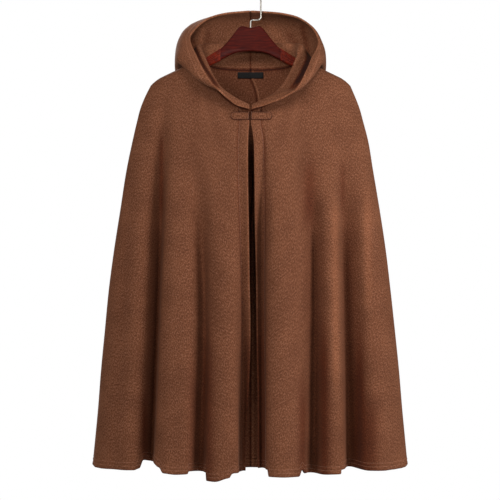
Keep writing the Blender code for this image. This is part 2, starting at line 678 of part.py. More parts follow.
def sleeve_ring(tall, deep, swell):
    """A ring of (depth, height) points of this half-height and half-depth, ribbed front and back."""
    levels = np.linspace(-1.0, 1.0, 2 * SLEEVE_RIBS + 1) * (tall - SLEEVE_ROUND)
    wave = swell * (np.arange(len(levels)) % 2)
    face = [(SLEEVE_ROUND - deep, -tall)] + [(-deep - w, z) for z, w in zip(levels, wave)]
    face.append((SLEEVE_ROUND - deep, tall))
    return face + [(-y, z) for y, z in face[::-1]]


def make_sleeve(side):
    """A thin rubber sleeve round the arm, with ribs along it."""
    shell = bmesh.new()
    loops = []
    for gap, swell, order in ((ON_CLOTH + SLEEVE_WALL, RIB_HEIGHT, 1), (ON_CLOTH, 0.0, -1)):
        for across in SLEEVE_PLACES[::order]:
            upper, under = arm_edges(across)
            tall = (under - upper) / 2.0 + gap * math.hypot(1.0, RIDGE_SLOPE)  # the arm slopes
            middle = -(upper + under) / 2.0
            ring = sleeve_ring(tall, HANGER_DEPTH / 2.0 + gap, swell)
            loops.append([shell.verts.new((SIGN[side] * across, y, middle + z)) for y, z in ring])
    for loop, after in zip(loops, loops[1:] + loops[:1]):
        for i in range(len(loop)):
            j = (i + 1) % len(loop)
            shell.faces.new((loop[i], loop[j], after[j], after[i]))
    bmesh.ops.recalc_face_normals(shell, faces=shell.faces)
    mesh = bpy.data.meshes.new("sleeve")
    shell.to_mesh(mesh)
    shell.free()
    added("hanger_sleeve_" + ("right", "left")[side], mesh, "rubber")


def main():
    for item in list(bpy.data.objects):
        bpy.data.objects.remove(item, do_unlink=True)
    bpy.context.scene.collection.children.link(bpy.data.collections.new(COLLECTION))
    for side, word in ((RIGHT, "right"), (LEFT, "left")):
        for face, where in ((FRONT, "front"), (BACK, "back")):
            outside, inside, _ = panel_skins(face, side)
            walled(f"{where}_{word}", outside, inside, "cloth")
        walled(f"hood_{word}", *hood_skins(side), "cloth")
        make_tab(side)
        make_sleeve(side)
    make_label()
    make_hanger()
    make_hook()


main()
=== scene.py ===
"""Looks of an open-front hooded cape of brown wool cloth on a wooden clothes hanger.

Metres, +Z up. The front faces -Y. RIGHT and LEFT are the wearer's sides, and the wearer's left is
at +X. The origin is inside the top of the hanger's hook, so heights in the tables are drops below
it, counted downwards. The cloth is drawn from the same drape as its solids, on a finer grid, with
its creases, turned-back edges and stitches.
"""
import math

import bmesh
import bpy
import numpy as np
from bpy.props import FloatProperty, FloatVectorProperty, IntProperty, PointerProperty
from bpy.types import Operator, Panel, PropertyGroup
from mathutils import Matrix, Vector


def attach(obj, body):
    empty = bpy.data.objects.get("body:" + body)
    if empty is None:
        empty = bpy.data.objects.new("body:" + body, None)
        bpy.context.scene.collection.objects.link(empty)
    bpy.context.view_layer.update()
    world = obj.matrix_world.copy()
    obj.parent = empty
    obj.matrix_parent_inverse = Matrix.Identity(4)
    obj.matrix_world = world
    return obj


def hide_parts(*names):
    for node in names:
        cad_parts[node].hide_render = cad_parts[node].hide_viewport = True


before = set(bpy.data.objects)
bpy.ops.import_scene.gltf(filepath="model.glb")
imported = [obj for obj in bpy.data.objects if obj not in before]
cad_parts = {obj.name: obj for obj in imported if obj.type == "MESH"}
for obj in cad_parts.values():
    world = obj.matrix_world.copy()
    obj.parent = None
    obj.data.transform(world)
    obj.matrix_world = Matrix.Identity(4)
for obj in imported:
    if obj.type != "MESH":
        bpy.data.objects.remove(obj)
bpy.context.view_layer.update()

bl_info = {
    "name": "Hooded cape on a hanger",
    "version": (1, 0, 0),
    "blender": (4, 5, 0),
    "location": "View3D > Sidebar > Cape",
    "description": "Makes the cloth, the hanger and the studio of a hooded cape, piece by piece",
    "category": "Add Mesh",
}

MM = 0.001

WALL = 0.002  # the cloth
RIGHT, LEFT = 0, 1  # the wearer's sides, also the columns of the tables
SIDES = ((RIGHT, "right"), (LEFT, "left"))
SIGN = (-1.0, 1.0)
FRONT, BACK = 0, 1
FACING = (-1.0, 1.0)

# Shoulder line, where the cloth lies over the hanger's arms.
RIDGE_AT, RIDGE_DROP, RIDGE_SLOPE = 0.091, 0.1475, 0.48
RIDGE_END, END_ROUND = 0.186, 10.5  # past this place the line curves down to the side seam
RIDGE_RADIUS = 0.012  # of the cloth over the arm
SHOULDER = 0.211  # half the width at the shoulders
NECK_SIDE = 0.103  # where the neck seam crosses the shoulder line
HANG = 0.9  # the length over which the cape swells to its full depth
SWELL = (0.121, 0.106)  # of the front and the back, over that length
SWELL_POWER, PROFILE_POWER = 0.55, 2.2
ARM_FADE, FOLD_FADE = 12, 10  # powers by which the roll and the folds die out at the side seam
MID_DROP, HEM_DROP = 0.65, 1.02  # the levels of the fold tables

# Half the width by drop: wearer's right, wearer's left.
OUTLINE = np.array([
    (0.212, 0.2110, 0.2110),
    (0.233, 0.2215, 0.2200),
    (0.256, 0.2310, 0.2290),
    (0.290, 0.2400, 0.2385),
    (0.325, 0.2480, 0.2475),
    (0.388, 0.2610, 0.2580),
    (0.472, 0.2740, 0.2720),
    (0.556, 0.2870, 0.2846),
    (0.640, 0.2980, 0.2945),
    (0.724, 0.3060, 0.3035),
    (0.808, 0.3140, 0.3120),
    (0.892, 0.3205, 0.3190),
    (0.955, 0.3265, 0.3250),
    (1.050, 0.3360, 0.3340),
])

# The front edges by drop: how far the wearer's right and left edges stand off the middle.
EDGES = np.array([
    (0.150, 0.0002, 0.0002),
    (0.272, 0.0024, 0.0004),
    (0.286, 0.0024, 0.0004),
    (0.321, 0.0046, 0.0056),
    (0.390, 0.0048, 0.0074),
    (0.500, 0.0010, 0.0082),
    (0.620, -0.0028, 0.0090),
    (0.775, -0.0040, 0.0106),
    (0.860, 0.0000, 0.0124),
    (0.940, 0.0062, 0.0126),
    (1.050, 0.0080, 0.0126),
])

# How far the centre back seam strays to the wearer's left, by drop.
BACK_SEAM = np.array([
    (0.195, 0.0), (0.215, 0.0085), (0.240, 0.0135), (0.270, 0.0140), (0.360, 0.0080), (0.500, 0.0),
])

# The neck seam from the middle to the shoulder line, front and back: distance from the middle, drop.
NECK = (
    np.array([
        (0.0, 0.2670), (0.030, 0.2530), (0.057, 0.2320), (0.080, 0.2040), (0.095, 0.1750), (0.103, 0.1533),
    ]),
    np.array([
        (0.0, 0.1760), (0.030, 0.1757), (0.060, 0.1735), (0.082, 0.1690), (0.095, 0.1610), (0.103, 0.1533),
    ]),
)

# The hem as it is seen: distance from the middle, drop.
HEM = {
    (FRONT, RIGHT): np.array([
        (0.0000, 1.0145), (0.0361, 1.0160), (0.0443, 1.0260), (0.0732, 1.0335), (0.0905, 1.0325),
        (0.0925, 1.0160), (0.1275, 1.0125), (0.1297, 1.0185), (0.1558, 1.0195), (0.1805, 1.0170),
        (0.1908, 1.0050), (0.2032, 0.9980), (0.2245, 0.9930), (0.2313, 1.0095), (0.2420, 1.0130),
        (0.2589, 1.0130), (0.2898, 1.0120), (0.3105, 1.0120), (0.3250, 1.0108), (0.3340, 1.0060),
    ]),
    (FRONT, LEFT): np.array([
        (0.0000, 1.0085), (0.0345, 1.0085), (0.0375, 1.0230), (0.0712, 1.0240), (0.1000, 1.0235),
        (0.1073, 1.0100), (0.1135, 1.0175), (0.1434, 1.0210), (0.1870, 1.0200), (0.1890, 1.0110),
        (0.2053, 1.0090), (0.2465, 1.0150), (0.2775, 1.0150), (0.2981, 1.0135), (0.3146, 1.0120),
        (0.3240, 1.0105), (0.3320, 1.0060),
    ]),
    (BACK, RIGHT): np.array([
        (0.0000, 1.0215), (0.0400, 1.0225), (0.0700, 1.0110), (0.1000, 1.0190), (0.1350, 1.0180),
        (0.1580, 1.0090), (0.1850, 1.0150), (0.2120, 1.0030), (0.2350, 0.9990), (0.2650, 1.0090),
        (0.3000, 1.0110), (0.3330, 1.0050),
    ]),
    (BACK, LEFT): np.array([
        (0.0000, 1.0215), (0.0500, 1.0225), (0.0840, 1.0105), (0.1120, 1.0180), (0.1450, 1.0175),
        (0.1700, 1.0090), (0.2000, 1.0170), (0.2250, 1.0165), (0.2480, 1.0085), (0.2750, 1.0130),
        (0.3050, 1.0095), (0.3300, 1.0030),
    ]),
}

# Folds, one row for each trough: the drop where it starts; its distance from the middle there, at
# MID_DROP and at HEM_DROP; its depth at MID_DROP and HEM_DROP; its half-width towards the middle
# and towards the side.
FOLDS = {
    (FRONT, RIGHT): (
        (0.33, 0.024, 0.018, 0.018, 0.014, 0.048, 0.032, 0.022),
        (0.34, 0.112, 0.096, 0.102, 0.036, 0.050, 0.023, 0.028),
        (0.24, 0.182, 0.193, 0.207, 0.050, 0.062, 0.017, 0.028),
        (0.24, 0.238, 0.262, 0.285, 0.008, 0.002, 0.014, 0.014),
    ),
    (FRONT, LEFT): (
        (0.34, 0.028, 0.026, 0.027, 0.034, 0.052, 0.025, 0.015),
        (0.42, 0.058, 0.086, 0.100, 0.009, 0.004, 0.022, 0.022),
        (0.34, 0.126, 0.134, 0.133, 0.044, 0.058, 0.028, 0.028),
        (0.32, 0.190, 0.199, 0.204, 0.048, 0.068, 0.022, 0.046),
        (0.40, 0.262, 0.289, 0.302, 0.008, 0.004, 0.016, 0.016),
    ),
    (BACK, RIGHT): (
        (0.36, 0.052, 0.064, 0.070, 0.026, 0.038, 0.028, 0.030),
        (0.32, 0.128, 0.146, 0.158, 0.036, 0.050, 0.028, 0.030),
        (0.28, 0.196, 0.224, 0.240, 0.034, 0.046, 0.028, 0.028),
    ),
    (BACK, LEFT): (
        (0.38, 0.066, 0.078, 0.084, 0.030, 0.042, 0.030, 0.028),
        (0.30, 0.142, 0.160, 0.170, 0.032, 0.046, 0.030, 0.030),
        (0.29, 0.204, 0.232, 0.248, 0.036, 0.048, 0.026, 0.028),
    ),
}

# Painted shade and painted light beside the fronts' folds, RIGHT and LEFT. Each row: the drops where it
# starts, is full, fades and ends; its distance from the middle as seen from the front, and half-width;
# how much shade is painted, light below zero.
FOLD_PAINTED_LIGHT = (
    (
        (0.66, 0.84, 1.10, 1.20, 0.0875, 0.012, 0.34),
        (0.72, 0.86, 1.10, 1.20, 0.1185, 0.010, 0.22),
        (0.68, 0.80, 1.10, 1.20, 0.0040, 0.008, 0.30),
        (0.30, 0.34, 0.44, 0.52, 0.1863, 0.005, 0.40),
        (0.82, 0.92, 1.10, 1.20, 0.2200, 0.006, 0.40),
    ),
    (
        (0.66, 0.80, 1.10, 1.20, 0.1530, 0.013, 0.40),
        (0.78, 0.90, 1.10, 1.20, 0.1080, 0.010, 0.38),
        (0.34, 0.41, 0.46, 0.53, 0.1225, 0.015, 0.36),
        (0.66, 0.86, 1.10, 1.20, 0.2275, 0.010, 0.48),
        (0.82, 0.92, 1.10, 1.20, 0.2500, 0.018, 0.36),
        (0.60, 0.84, 1.10, 1.20, 0.0200, 0.012, 0.38),
        (0.36, 0.40, 0.44, 0.50, 0.1925, 0.006, 0.25),
        (0.42, 0.50, 0.78, 0.90, 0.1770, 0.010, -0.50),
        (0.40, 0.48, 0.62, 0.72, 0.2440, 0.010, -0.40),
    ),
)

# Painted shade and painted light for soft creases inside the hood, which have no shape of their own,
# RIGHT and LEFT, as seen from the front. Each row: distance from the middle and drop of one end and of
# the other; half-width; how much shade is painted, light below zero.
HOOD_PAINTED_CREASES = (
    (
        (0.1020, 0.0850, 0.1065, 0.1113, 0.0040, -0.45),
        (0.1065, 0.1113, 0.1155, 0.1280, 0.0035, -0.45),
        (0.1240, 0.1071, 0.1165, 0.1344, 0.0035, 0.45),
        (0.0890, 0.0920, 0.1000, 0.1302, 0.0060, 0.25),
        (0.0930, 0.1365, 0.0750, 0.1407, 0.0030, -0.35),
    ),
    (
        (0.0452, 0.0800, 0.0830, 0.1260, 0.0050, -0.35),
        (0.0820, 0.0950, 0.0998, 0.1197, 0.0070, 0.30),
        (0.1120, 0.0800, 0.1240, 0.1365, 0.0060, 0.40),
    ),
)
PINCH = 0.45  # how far a full trough draws its sides together
SEAM_CALM = 0.034  # folds die out this near the middle of the back

# How far the cloth beside each trough of FOLDS leans over it where the trough is full: at its side
# towards the middle and at its side towards the side seam.
LEANS = {
    (FRONT, RIGHT): ((0.000, 0.012), (0.008, 0.004), (0.008, 0.003), (0.000, 0.000)),
    (FRONT, LEFT): ((0.000, 0.008), (0.002, 0.002), (0.007, 0.007), (0.010, 0.003), (0.000, 0.000)),
    (BACK, RIGHT): ((0.004, 0.008), (0.010, 0.004), (0.004, 0.006)),
    (BACK, LEFT): ((0.005, 0.006), (0.004, 0.010), (0.008, 0.003)),
}
LEAN_AT, LEAN_WIDTH = 1.15, 0.5  # where beside a trough it leans most, in half-widths of the trough

# Creases, which only the thin cloth has: the drops where one begins and is full; its distance from
# the middle where it begins, at MID_DROP and at HEM_DROP; how far it stands out, or in where below
# zero; its half-width towards the middle and towards the side.
CREASES = {
    (FRONT, RIGHT): (
        (0.21, 0.38, 0.180, 0.1910, 0.2060, -0.0120, 0.012, 0.016),
        (0.66, 0.92, 0.130, 0.131, 0.132, 0.0090, 0.006, 0.022),
        (0.34, 0.60, 0.172, 0.180, 0.186, 0.0050, 0.018, 0.008),
        (0.34, 0.66, 0.116, 0.099, 0.103, -0.0050, 0.016, 0.022),
        (0.50, 0.76, 0.084, 0.081, 0.084, 0.0040, 0.014, 0.008),
        (0.30, 0.60, 0.150, 0.154, 0.158, -0.0016, 0.014, 0.012),
        (0.36, 0.80, 0.008, 0.006, 0.006, -0.0220, 0.020, 0.018),
        (0.26, 0.42, 0.022, 0.014, 0.012, -0.0040, 0.010, 0.008),
        (0.80, 0.96, 0.036, 0.037, 0.039, 0.0040, 0.006, 0.016),
        (0.24, 0.42, 0.232, 0.262, 0.300, 0.0022, 0.010, 0.010),
        (0.34, 0.60, 0.066, 0.068, 0.070, -0.0014, 0.012, 0.010),
    ),
    (FRONT, LEFT): (
        (0.36, 0.56, 0.020, 0.014, 0.010, -0.0160, 0.012, 0.016),
        (0.25, 0.38, 0.028, 0.021, 0.020, -0.0060, 0.007, 0.007),
        (0.70, 0.88, 0.037, 0.037, 0.039, 0.0070, 0.006, 0.020),
        (0.34, 0.60, 0.129, 0.136, 0.136, -0.0100, 0.018, 0.020),
        (0.32, 0.54, 0.188, 0.199, 0.2040, -0.0120, 0.012, 0.028),
        (0.60, 0.86, 0.176, 0.182, 0.190, 0.0080, 0.018, 0.007),
        (0.46, 0.70, 0.058, 0.064, 0.070, 0.0030, 0.014, 0.016),
        (0.88, 0.98, 0.108, 0.110, 0.112, -0.0080, 0.006, 0.007),
        (0.26, 0.50, 0.238, 0.250, 0.270, 0.0030, 0.018, 0.014),
        (0.34, 0.66, 0.096, 0.100, 0.104, -0.0016, 0.012, 0.012),
    ),
    (BACK, RIGHT): (
        (0.34, 0.62, 0.126, 0.147, 0.158, -0.0160, 0.012, 0.014),
        (0.60, 0.86, 0.100, 0.104, 0.108, 0.0070, 0.014, 0.018),
        (0.46, 0.80, 0.180, 0.190, 0.200, 0.0060, 0.016, 0.010),
        (0.40, 0.70, 0.036, 0.039, 0.042, -0.0018, 0.012, 0.012),
        (0.28, 0.56, 0.252, 0.268, 0.286, 0.0024, 0.012, 0.012),
    ),
    (BACK, LEFT): (
        (0.34, 0.60, 0.196, 0.233, 0.248, -0.0160, 0.014, 0.012),
        (0.54, 0.84, 0.116, 0.119, 0.122, 0.0070, 0.018, 0.014),
        (0.50, 0.78, 0.192, 0.200, 0.210, 0.0060, 0.010, 0.016),
        (0.44, 0.72, 0.044, 0.046, 0.048, -0.0020, 0.012, 0.014),
        (0.30, 0.60, 0.262, 0.276, 0.294, 0.0022, 0.012, 0.012),
    ),
}
CRISP, SOFT = 1.4, 2.0  # powers of the section of a crease that stands out, or in: 1 is a sharp edge
CREASE_BEND = 0.1  # a crease that starts low has its middle place this far below its start


def sides(rows):
    """A table for both sides; a row with the numbers of one side only holds for both."""
    return np.array([row if len(row) == 7 else (*row, *row[1:]) for row in rows])


# The hood is a loft across the lines below, which follow the neck seam from the throat (0) over
# the shoulder line (0.5) to the middle of the back (1). Each row: place along the seam; distance
# from the middle, depth (behind the hanger is positive) and drop of the wearer's right half; then
# those of the left half, where they differ. From the seam the cloth rises to the crest that stands
# round the neck, falls into the valley, turns at the fold that rests over the shoulders and hangs as
# a pouch at the back, and rises over the swell and the brow to the rim.
CREST = sides([
    (0.000, 0.0024, -0.0590, 0.2590),
    (0.136, 0.0300, -0.0610, 0.2430, 0.0270, -0.0600, 0.2460),
    (0.273, 0.0600, -0.0530, 0.2200, 0.0580, -0.0520, 0.2230),
    (0.386, 0.0790, -0.0400, 0.1900, 0.0785, -0.0470, 0.1940),
    (0.455, 0.0920, -0.0240, 0.1600, 0.0915, -0.0340, 0.1640),
    (0.500, 0.1000, -0.0100, 0.1400, 0.0985, -0.0240, 0.1430),
    (0.545, 0.1100, 0.0080, 0.1290, 0.1040, -0.0090, 0.1290),
    (0.636, 0.0980, 0.0360, 0.1220, 0.0960, 0.0340, 0.1210),
    (0.750, 0.0680, 0.0500, 0.1210, 0.0670, 0.0490, 0.1200),
    (1.000, 0.0000, 0.0560, 0.1230),
])
VALLEY = sides([
    (0.000, 0.0027, -0.0635, 0.2568),
    (0.136, 0.0320, -0.0665, 0.2415, 0.0315, -0.0660, 0.2430),
    (0.273, 0.0635, -0.0610, 0.2185, 0.0640, -0.0590, 0.2260),
    (0.386, 0.0880, -0.0520, 0.1970, 0.0895, -0.0440, 0.2100),
    (0.455, 0.1060, -0.0370, 0.1760, 0.1050, -0.0340, 0.1840),
    (0.500, 0.1240, -0.0130, 0.1545, 0.1180, -0.0120, 0.1540),
    (0.545, 0.1330, 0.0150, 0.1590),
    (0.636, 0.1200, 0.0520, 0.1900),
    (0.750, 0.0840, 0.0720, 0.2180),
    (1.000, 0.0000, 0.0820, 0.2360),
])
FOLD = sides([
    (0.000, 0.0029, -0.0680, 0.2572),
    (0.136, 0.0340, -0.0720, 0.2435, 0.0345, -0.0715, 0.2455),
    (0.273, 0.0670, -0.0690, 0.2225, 0.0730, -0.0680, 0.2290),
    (0.386, 0.0950, -0.0670, 0.2130, 0.1060, -0.0630, 0.2200),
    (0.455, 0.1180, -0.0560, 0.1980, 0.1270, -0.0520, 0.1990),
    (0.500, 0.1460, -0.0180, 0.1700, 0.1460, -0.0180, 0.1710),
    (0.545, 0.1560, 0.0200, 0.1730),
    (0.636, 0.1480, 0.0660, 0.2140),
    (0.750, 0.1020, 0.0960, 0.2620),
    (1.000, 0.0000, 0.1140, 0.2880),
])
SWELLING = sides([
    (0.000, 0.0030, -0.0710, 0.2592),
    (0.136, 0.0350, -0.0755, 0.2465, 0.0355, -0.0750, 0.2485),
    (0.273, 0.0690, -0.0760, 0.2240, 0.0765, -0.0745, 0.2325),
    (0.386, 0.0935, -0.0770, 0.2130, 0.1100, -0.0725, 0.2190),
    (0.455, 0.1190, -0.0700, 0.1920, 0.1340, -0.0620, 0.1900),
    (0.500, 0.1540, -0.0320, 0.1600, 0.1530, -0.0320, 0.1640),
    (0.545, 0.1590, 0.0120, 0.1500, 0.1590, 0.0120, 0.1520),
    (0.636, 0.1520, 0.0740, 0.1540),
    (0.750, 0.1120, 0.1080, 0.1620),
    (1.000, 0.0000, 0.1320, 0.1700),
])
BROW = sides([
    (0.000, 0.0031, -0.0725, 0.2615),
    (0.136, 0.0352, -0.0770, 0.2500, 0.0355, -0.0768, 0.2520),
    (0.273, 0.0692, -0.0812, 0.2250, 0.0770, -0.0795, 0.2358),
    (0.386, 0.0900, -0.0840, 0.2095, 0.1080, -0.0800, 0.2155),
    (0.455, 0.1120, -0.0740, 0.1840, 0.1290, -0.0660, 0.1820),
    (0.500, 0.1390, -0.0470, 0.1500, 0.1450, -0.0420, 0.1520),
    (0.545, 0.1470, -0.0160, 0.1230, 0.1510, -0.0100, 0.1340),
    (0.600, 0.1420, 0.0120, 0.1000, 0.1490, 0.0140, 0.1160),
    (0.660, 0.1300, 0.0360, 0.0850, 0.1400, 0.0390, 0.0960),
    (0.750, 0.1050, 0.0640, 0.0720, 0.1130, 0.0690, 0.0770),
    (0.870, 0.0630, 0.0870, 0.0650, 0.0680, 0.0890, 0.0660),
    (1.000, 0.0000, 0.0980, 0.0630),
])
RIM = sides([
    (0.000, 0.0030, -0.0728, 0.2640),
    (0.136, 0.0345, -0.0770, 0.2535, 0.0350, -0.0768, 0.2550),
    (0.273, 0.0670, -0.0855, 0.2245, 0.0745, -0.0838, 0.2385),
    (0.386, 0.0835, -0.0850, 0.2060, 0.1010, -0.0820, 0.2135),
    (0.455, 0.1010, -0.0700, 0.1760, 0.1175, -0.0620, 0.1790),
    (0.500, 0.1130, -0.0520, 0.1500, 0.1280, -0.0430, 0.1540),
    (0.545, 0.1220, -0.0330, 0.1300, 0.1370, -0.0250, 0.1390),
    (0.600, 0.1265, -0.0120, 0.1120, 0.1440, -0.0050, 0.1200),
    (0.660, 0.1180, 0.0080, 0.0960, 0.1360, 0.0160, 0.0970),
    (0.750, 0.0970, 0.0320, 0.0760, 0.1110, 0.0400, 0.0740),
    (0.870, 0.0590, 0.0560, 0.0600, 0.0690, 0.0600, 0.0590),
    (1.000, 0.0000, 0.0700, 0.0525),
])
PROFILE_POINTS, PROFILE_STEP = 61, 0.0020  # at least this many points, and no further apart
SOFTENING = 18  # how often the hood's profiles are averaged to round their turns
CROWN_LIFT = 0.005  # of the rim and the brow at the back, where the cloth springs up
CROWN_FROM, CROWN_FULL = 0.5, 0.8  # places along the seam between which the lift grows
THROAT = 0.26  # up to this place the roll is small, and its wall is laid off across the seam
RIM_SHARE = 0.3  # of a short profile, which the rows of the rim take up at most

# The fine grids. Distances of rows and columns from an edge are in millimetres.
FINE = 800  # samples of a line that is measured along
PANEL_COLUMNS, PANEL_ROWS, NECK_SHARE = 118, 150, 0.42
ROW_CROWDING, COLUMN_SPREAD = 1.1, 0.6
STEP_CROWDING = 3.0  # how much closer the columns are where the hem steps up or down
HOOD_STEPS = (16, 20, 16, 16, 12, 8)  # rows between the seam and the hood's lines
NEAR_EDGE = (0.0, 0.25, 0.6, 1.0, 1.7, 2.8)
BESIDE_LINE = (-1.8, -0.9, 0.0, 0.9, 1.8)  # of a line of stitches
FILL_STEP, FILL_GAP = 2.4, 1.3  # of the rest, and how far it keeps from a line of stitches
ROLL_STEPS = 12  # rows where the cloth rolls over the arm
TAB_NEAR, TAB_FROM_NEAR = (0.0, 0.25, 0.6, 1.0, 1.6), 2.6
TAB_STEPS, TAB_END_STEPS, TAB_ROWS, TAB_LINE_POINTS = 18, 16, 25, 12
LABEL_COLUMNS, LABEL_ROWS = 41, 15
WOOD_STEPS, TIP_STEPS = 70, 24
STEP_POINTS, HOOK_POINTS, WIRE_SIDES = 12, 48, 20
SLEEVE_RINGS, CORNER_POINTS = 31, 7
RIB_POINTS, RIB_SIDES = 24, 8

# Edges: how far a turned-back layer reaches, and where its stitches run.
FRONT_TURN, FRONT_LINES = 0.0210, (0.0200,)
FRONT_DIP, FRONT_DIP_WIDTH = 0.0018, 0.0028
HEM_TURN, HEM_LINES = 0.0175, (0.0085, 0.0160)
RIM_TURN, RIM_LINES = 0.0155, (0.0140,)
RIM_ROOM = 3.0 * RIM_TURN  # a column of the hood that is shorter has no room for the rim's stitches
TURN_RISE, TURN_FADE = 0.0006, 0.0015  # of a turned-back edge outside
TURN_LAYER = 0.0012  # of its layer inside
EDGE_RADIUS = 0.001  # of the cloth's edges
BLUNT = 0.04  # of the radius: closer to the edge the wall gets no thinner, so it keeps its end face
STITCH_DIP, DIP_WIDTH = 0.0010, 0.0016
SEAM_DIP, SEAM_WIDTH = 0.0010, 0.0024
SEAM_REACH, SEAM_LAYER = 0.0090, 0.0010  # of the centre seams' allowance, pressed to the wearer's left
STITCH_PITCH, STITCH_LENGTH, THREAD, SEED = 0.0040, 0.0031, 0.00055, 4
UNEVEN = (0.9, 0.9, 0.88), (1.1, 1.1, 1.08)  # smallest and largest scale of a stitch, across and along it
THREAD_PROUD = 0.0002  # of the stitches above the cloth

# Painted shade (above zero) and painted light (below zero) along seams, edges and stitch lines: how
# much, how far from the seam or edge, and the half-width.
PANEL_NECK, HOOD_NECK = (0.7, 0.0, 0.0032), (0.7, 0.0, 0.0026)
SIDE_SEAM, MIDDLE_SEAM = (0.5, 0.0, 0.0018), (0.5, 0.0, 0.0020)
MIDDLE_RIDGE = (-0.5, 0.0050, 0.0020)  # painted highlight over the seam allowance of the back
HEM_EDGE, RIM_EDGE = (0.4, 0.0, 0.0016), (-0.35, 0.0010, 0.0016)
HEM_RIDGES = tuple((-0.35, line, 0.0013) for line in HEM_LINES)
HEM_RIDGE_LOSS = 0.8  # the share of these painted highlights that is lost in the troughs
RIM_RIDGE = (-0.35, RIM_LINES[0], 0.0015)
FRONT_FOLD, FRONT_EDGE = (0.35, 0.0220, 0.0024), (-0.45, 0.0015, 0.0015)
FRONT_EDGE_END = (0.55, 0.8)  # the drops between which the painted highlight on the right front's edge fades
TAB_EDGE, TAB_FOOT = (0.7, 0.0004, 0.0016), (0.28, 0.0, 0.0020)

# Painted shade in the troughs, inside the cape and behind the hood's roll.
TROUGH_PAINTED_SHADE, DEEP = 0.28, 0.042  # in troughs, and the depth at which it is full
INSIDE_PAINTED_SHADE = (0.0, 0.22)  # painted shade inside the fronts and the backs, out of the light
ROLL_PAINTED_SHADE = (0.8, 0.95)  # painted shade in the valley behind the standing roll of the hood, RIGHT and LEFT
ROLL_WIDTH = (0.0042, 0.0085)
ROLL_TOP, ROLL_END = (0.112, 0.132), (0.235, 0.205)  # drops where it is none and where it is full
ROLL_BEHIND = (0.045, 0.020)  # depths where it is none and where it is full
ROLL_CLEAR = 5  # rows between it and those of the rim

# Where the valley behind the hood's roll is seen, RIGHT and LEFT: drop, distance from the middle.
ROLL_LINE = (
    np.array([
        (0.1200, 0.1190), (0.1344, 0.1150), (0.1596, 0.1045),
        (0.1764, 0.0960), (0.1974, 0.0830), (0.2200, 0.0690),
    ]),
    np.array([
        (0.1190, 0.1260), (0.1365, 0.1235), (0.1590, 0.1215),
        (0.1890, 0.1085), (0.2064, 0.0980), (0.2240, 0.0860),
    ]),
)

# Closure tabs and label, which lie on the cloth.
TAB_DROP, TAB_HEIGHT, TAB_WALL, TAB_LINE = 0.2775, 0.0175, 0.0028, 0.0018
TAB_FROM, TAB_TO = (0.0022, 0.0006), (0.0410, 0.0450)
TAB_RADIUS, TAB_GROOVE = 0.0009, 0.0011
TAB_TIP = 0.00002  # its grid stops this far before its round end, where it would have no height
LABEL_WIDTH, LABEL_HEIGHT, LABEL_DROP, LABEL_WALL = 0.055, 0.013, 0.1870, 0.0010
LABEL_RADIUS = 0.0007
ON_CLOTH = 0.0003

# Hanger: a flat wooden one, with a ribbed rubber sleeve on each arm and a wire hook.
HANGER_DEPTH, HANGER_EDGE = 0.012, 0.0026
ARM_UNDER_RIDGE, ARM_HEIGHT, ARM_START, ARM_TIP = 0.0055, 0.0180, 0.095, 0.198
YOKE_TOP = np.array([
    (0.0, 0.0900), (0.025, 0.0900), (0.036, 0.1040), (0.048, 0.1190), (0.062, 0.1335), (0.078, 0.1440),
])
YOKE_UNDER = np.array([(0.0, 0.1385), (0.030, 0.1425), (0.061, 0.1570), (0.078, 0.1652)])
BEVEL_STEPS, SHARP_ANGLE, WELD = 4, math.radians(40), 1e-6
SLEEVE_FROM, SLEEVE_TO, SLEEVE_WALL, SLEEVE_ROUND = 0.063, 0.150, 0.0009, 0.0022
LIP_RISE, LIP_LENGTH = 0.00035, 0.0016  # of the lip at each end of a sleeve
RIBS, RIB_RADIUS = 4, 0.0018
RIB_INSET, RIB_MARGIN, RIB_SUNK = 0.0030, 0.0024, 0.0001  # from the sleeve's ends, its edges, its face
WIRE, HOOK_RADIUS = 0.0034, 0.0200
HOOK_STEP, HOOK_FOOT, HOOK_TIP_DROP = 0.0735, 0.0897, 0.0260
STEP_RADIUS = 0.006

# Sizes of the patterns on the finishes. The flecks and the nap of the wool and the ribs of the tape
# are finer in life, too fine for a pixel of the render, so they are drawn as coarse as it shows.
FLECK, NAP, CLOUD, NAP_STRETCH = 0.0021, 0.0024, 0.060, (1.0, 0.55, 1.0)
TWIST, TAPE_RIB, DUST = 0.0006, 0.0023675, 0.003
STREAK, PORE, WOOD_STRETCH = 0.003, 0.0008, (0.12, 1.0, 1.0)
RUBBER_MOTTLE, RUBBER_SKIN, WIRE_MARK, FLOOR_MOTTLE = 0.009, 0.0007, 0.0012, 0.5
WAVES = 20.0 / math.tau  # waves a metre of a wave texture of scale 1
MOTTLED = {"Detail": 3.0, "Roughness": 0.55}  # of the noise that breaks up a plain finish

# The photograph's frame: 2.1 mm a pixel at the hanger's plane, 500 pixels a side.
PIXEL, PIXELS = 0.0021, 500
VIEW_MIDDLE = (-0.001, -0.5565)  # across and up
VIEW_DISTANCE, SENSOR = 6.0, 0.036

# The studio's lamps: kind, place, the point that it shines at, and the settings of its kind.
BODY, HOOD_MOUTH = (0.0, 0.0, VIEW_MIDDLE[1]), (0.0, 0.06, 0.02)
LAMPS = {
    "key": ("AREA", (-2.4, -3.4, 1.4), BODY, {"size": 1.8}),
    "top": ("AREA", (0.25, -1.3, 0.55), BODY, {"size": 0.5}),
    "side": ("AREA", (1.9, -1.0, -0.3), BODY, {"size": 0.9}),
    "back": ("AREA", (-1.4, 3.7, 1.7), BODY, {"size": 2.0}),
    "hood": ("SPOT", (-0.15, -2.6, -0.05), HOOD_MOUTH, {
        "spot_size": math.radians(12.0), "spot_blend": 1.0, "shadow_soft_size": 0.1,
    }),
}
FLOOR_REACH, FLOOR_LEVEL = 5.0, -1.9


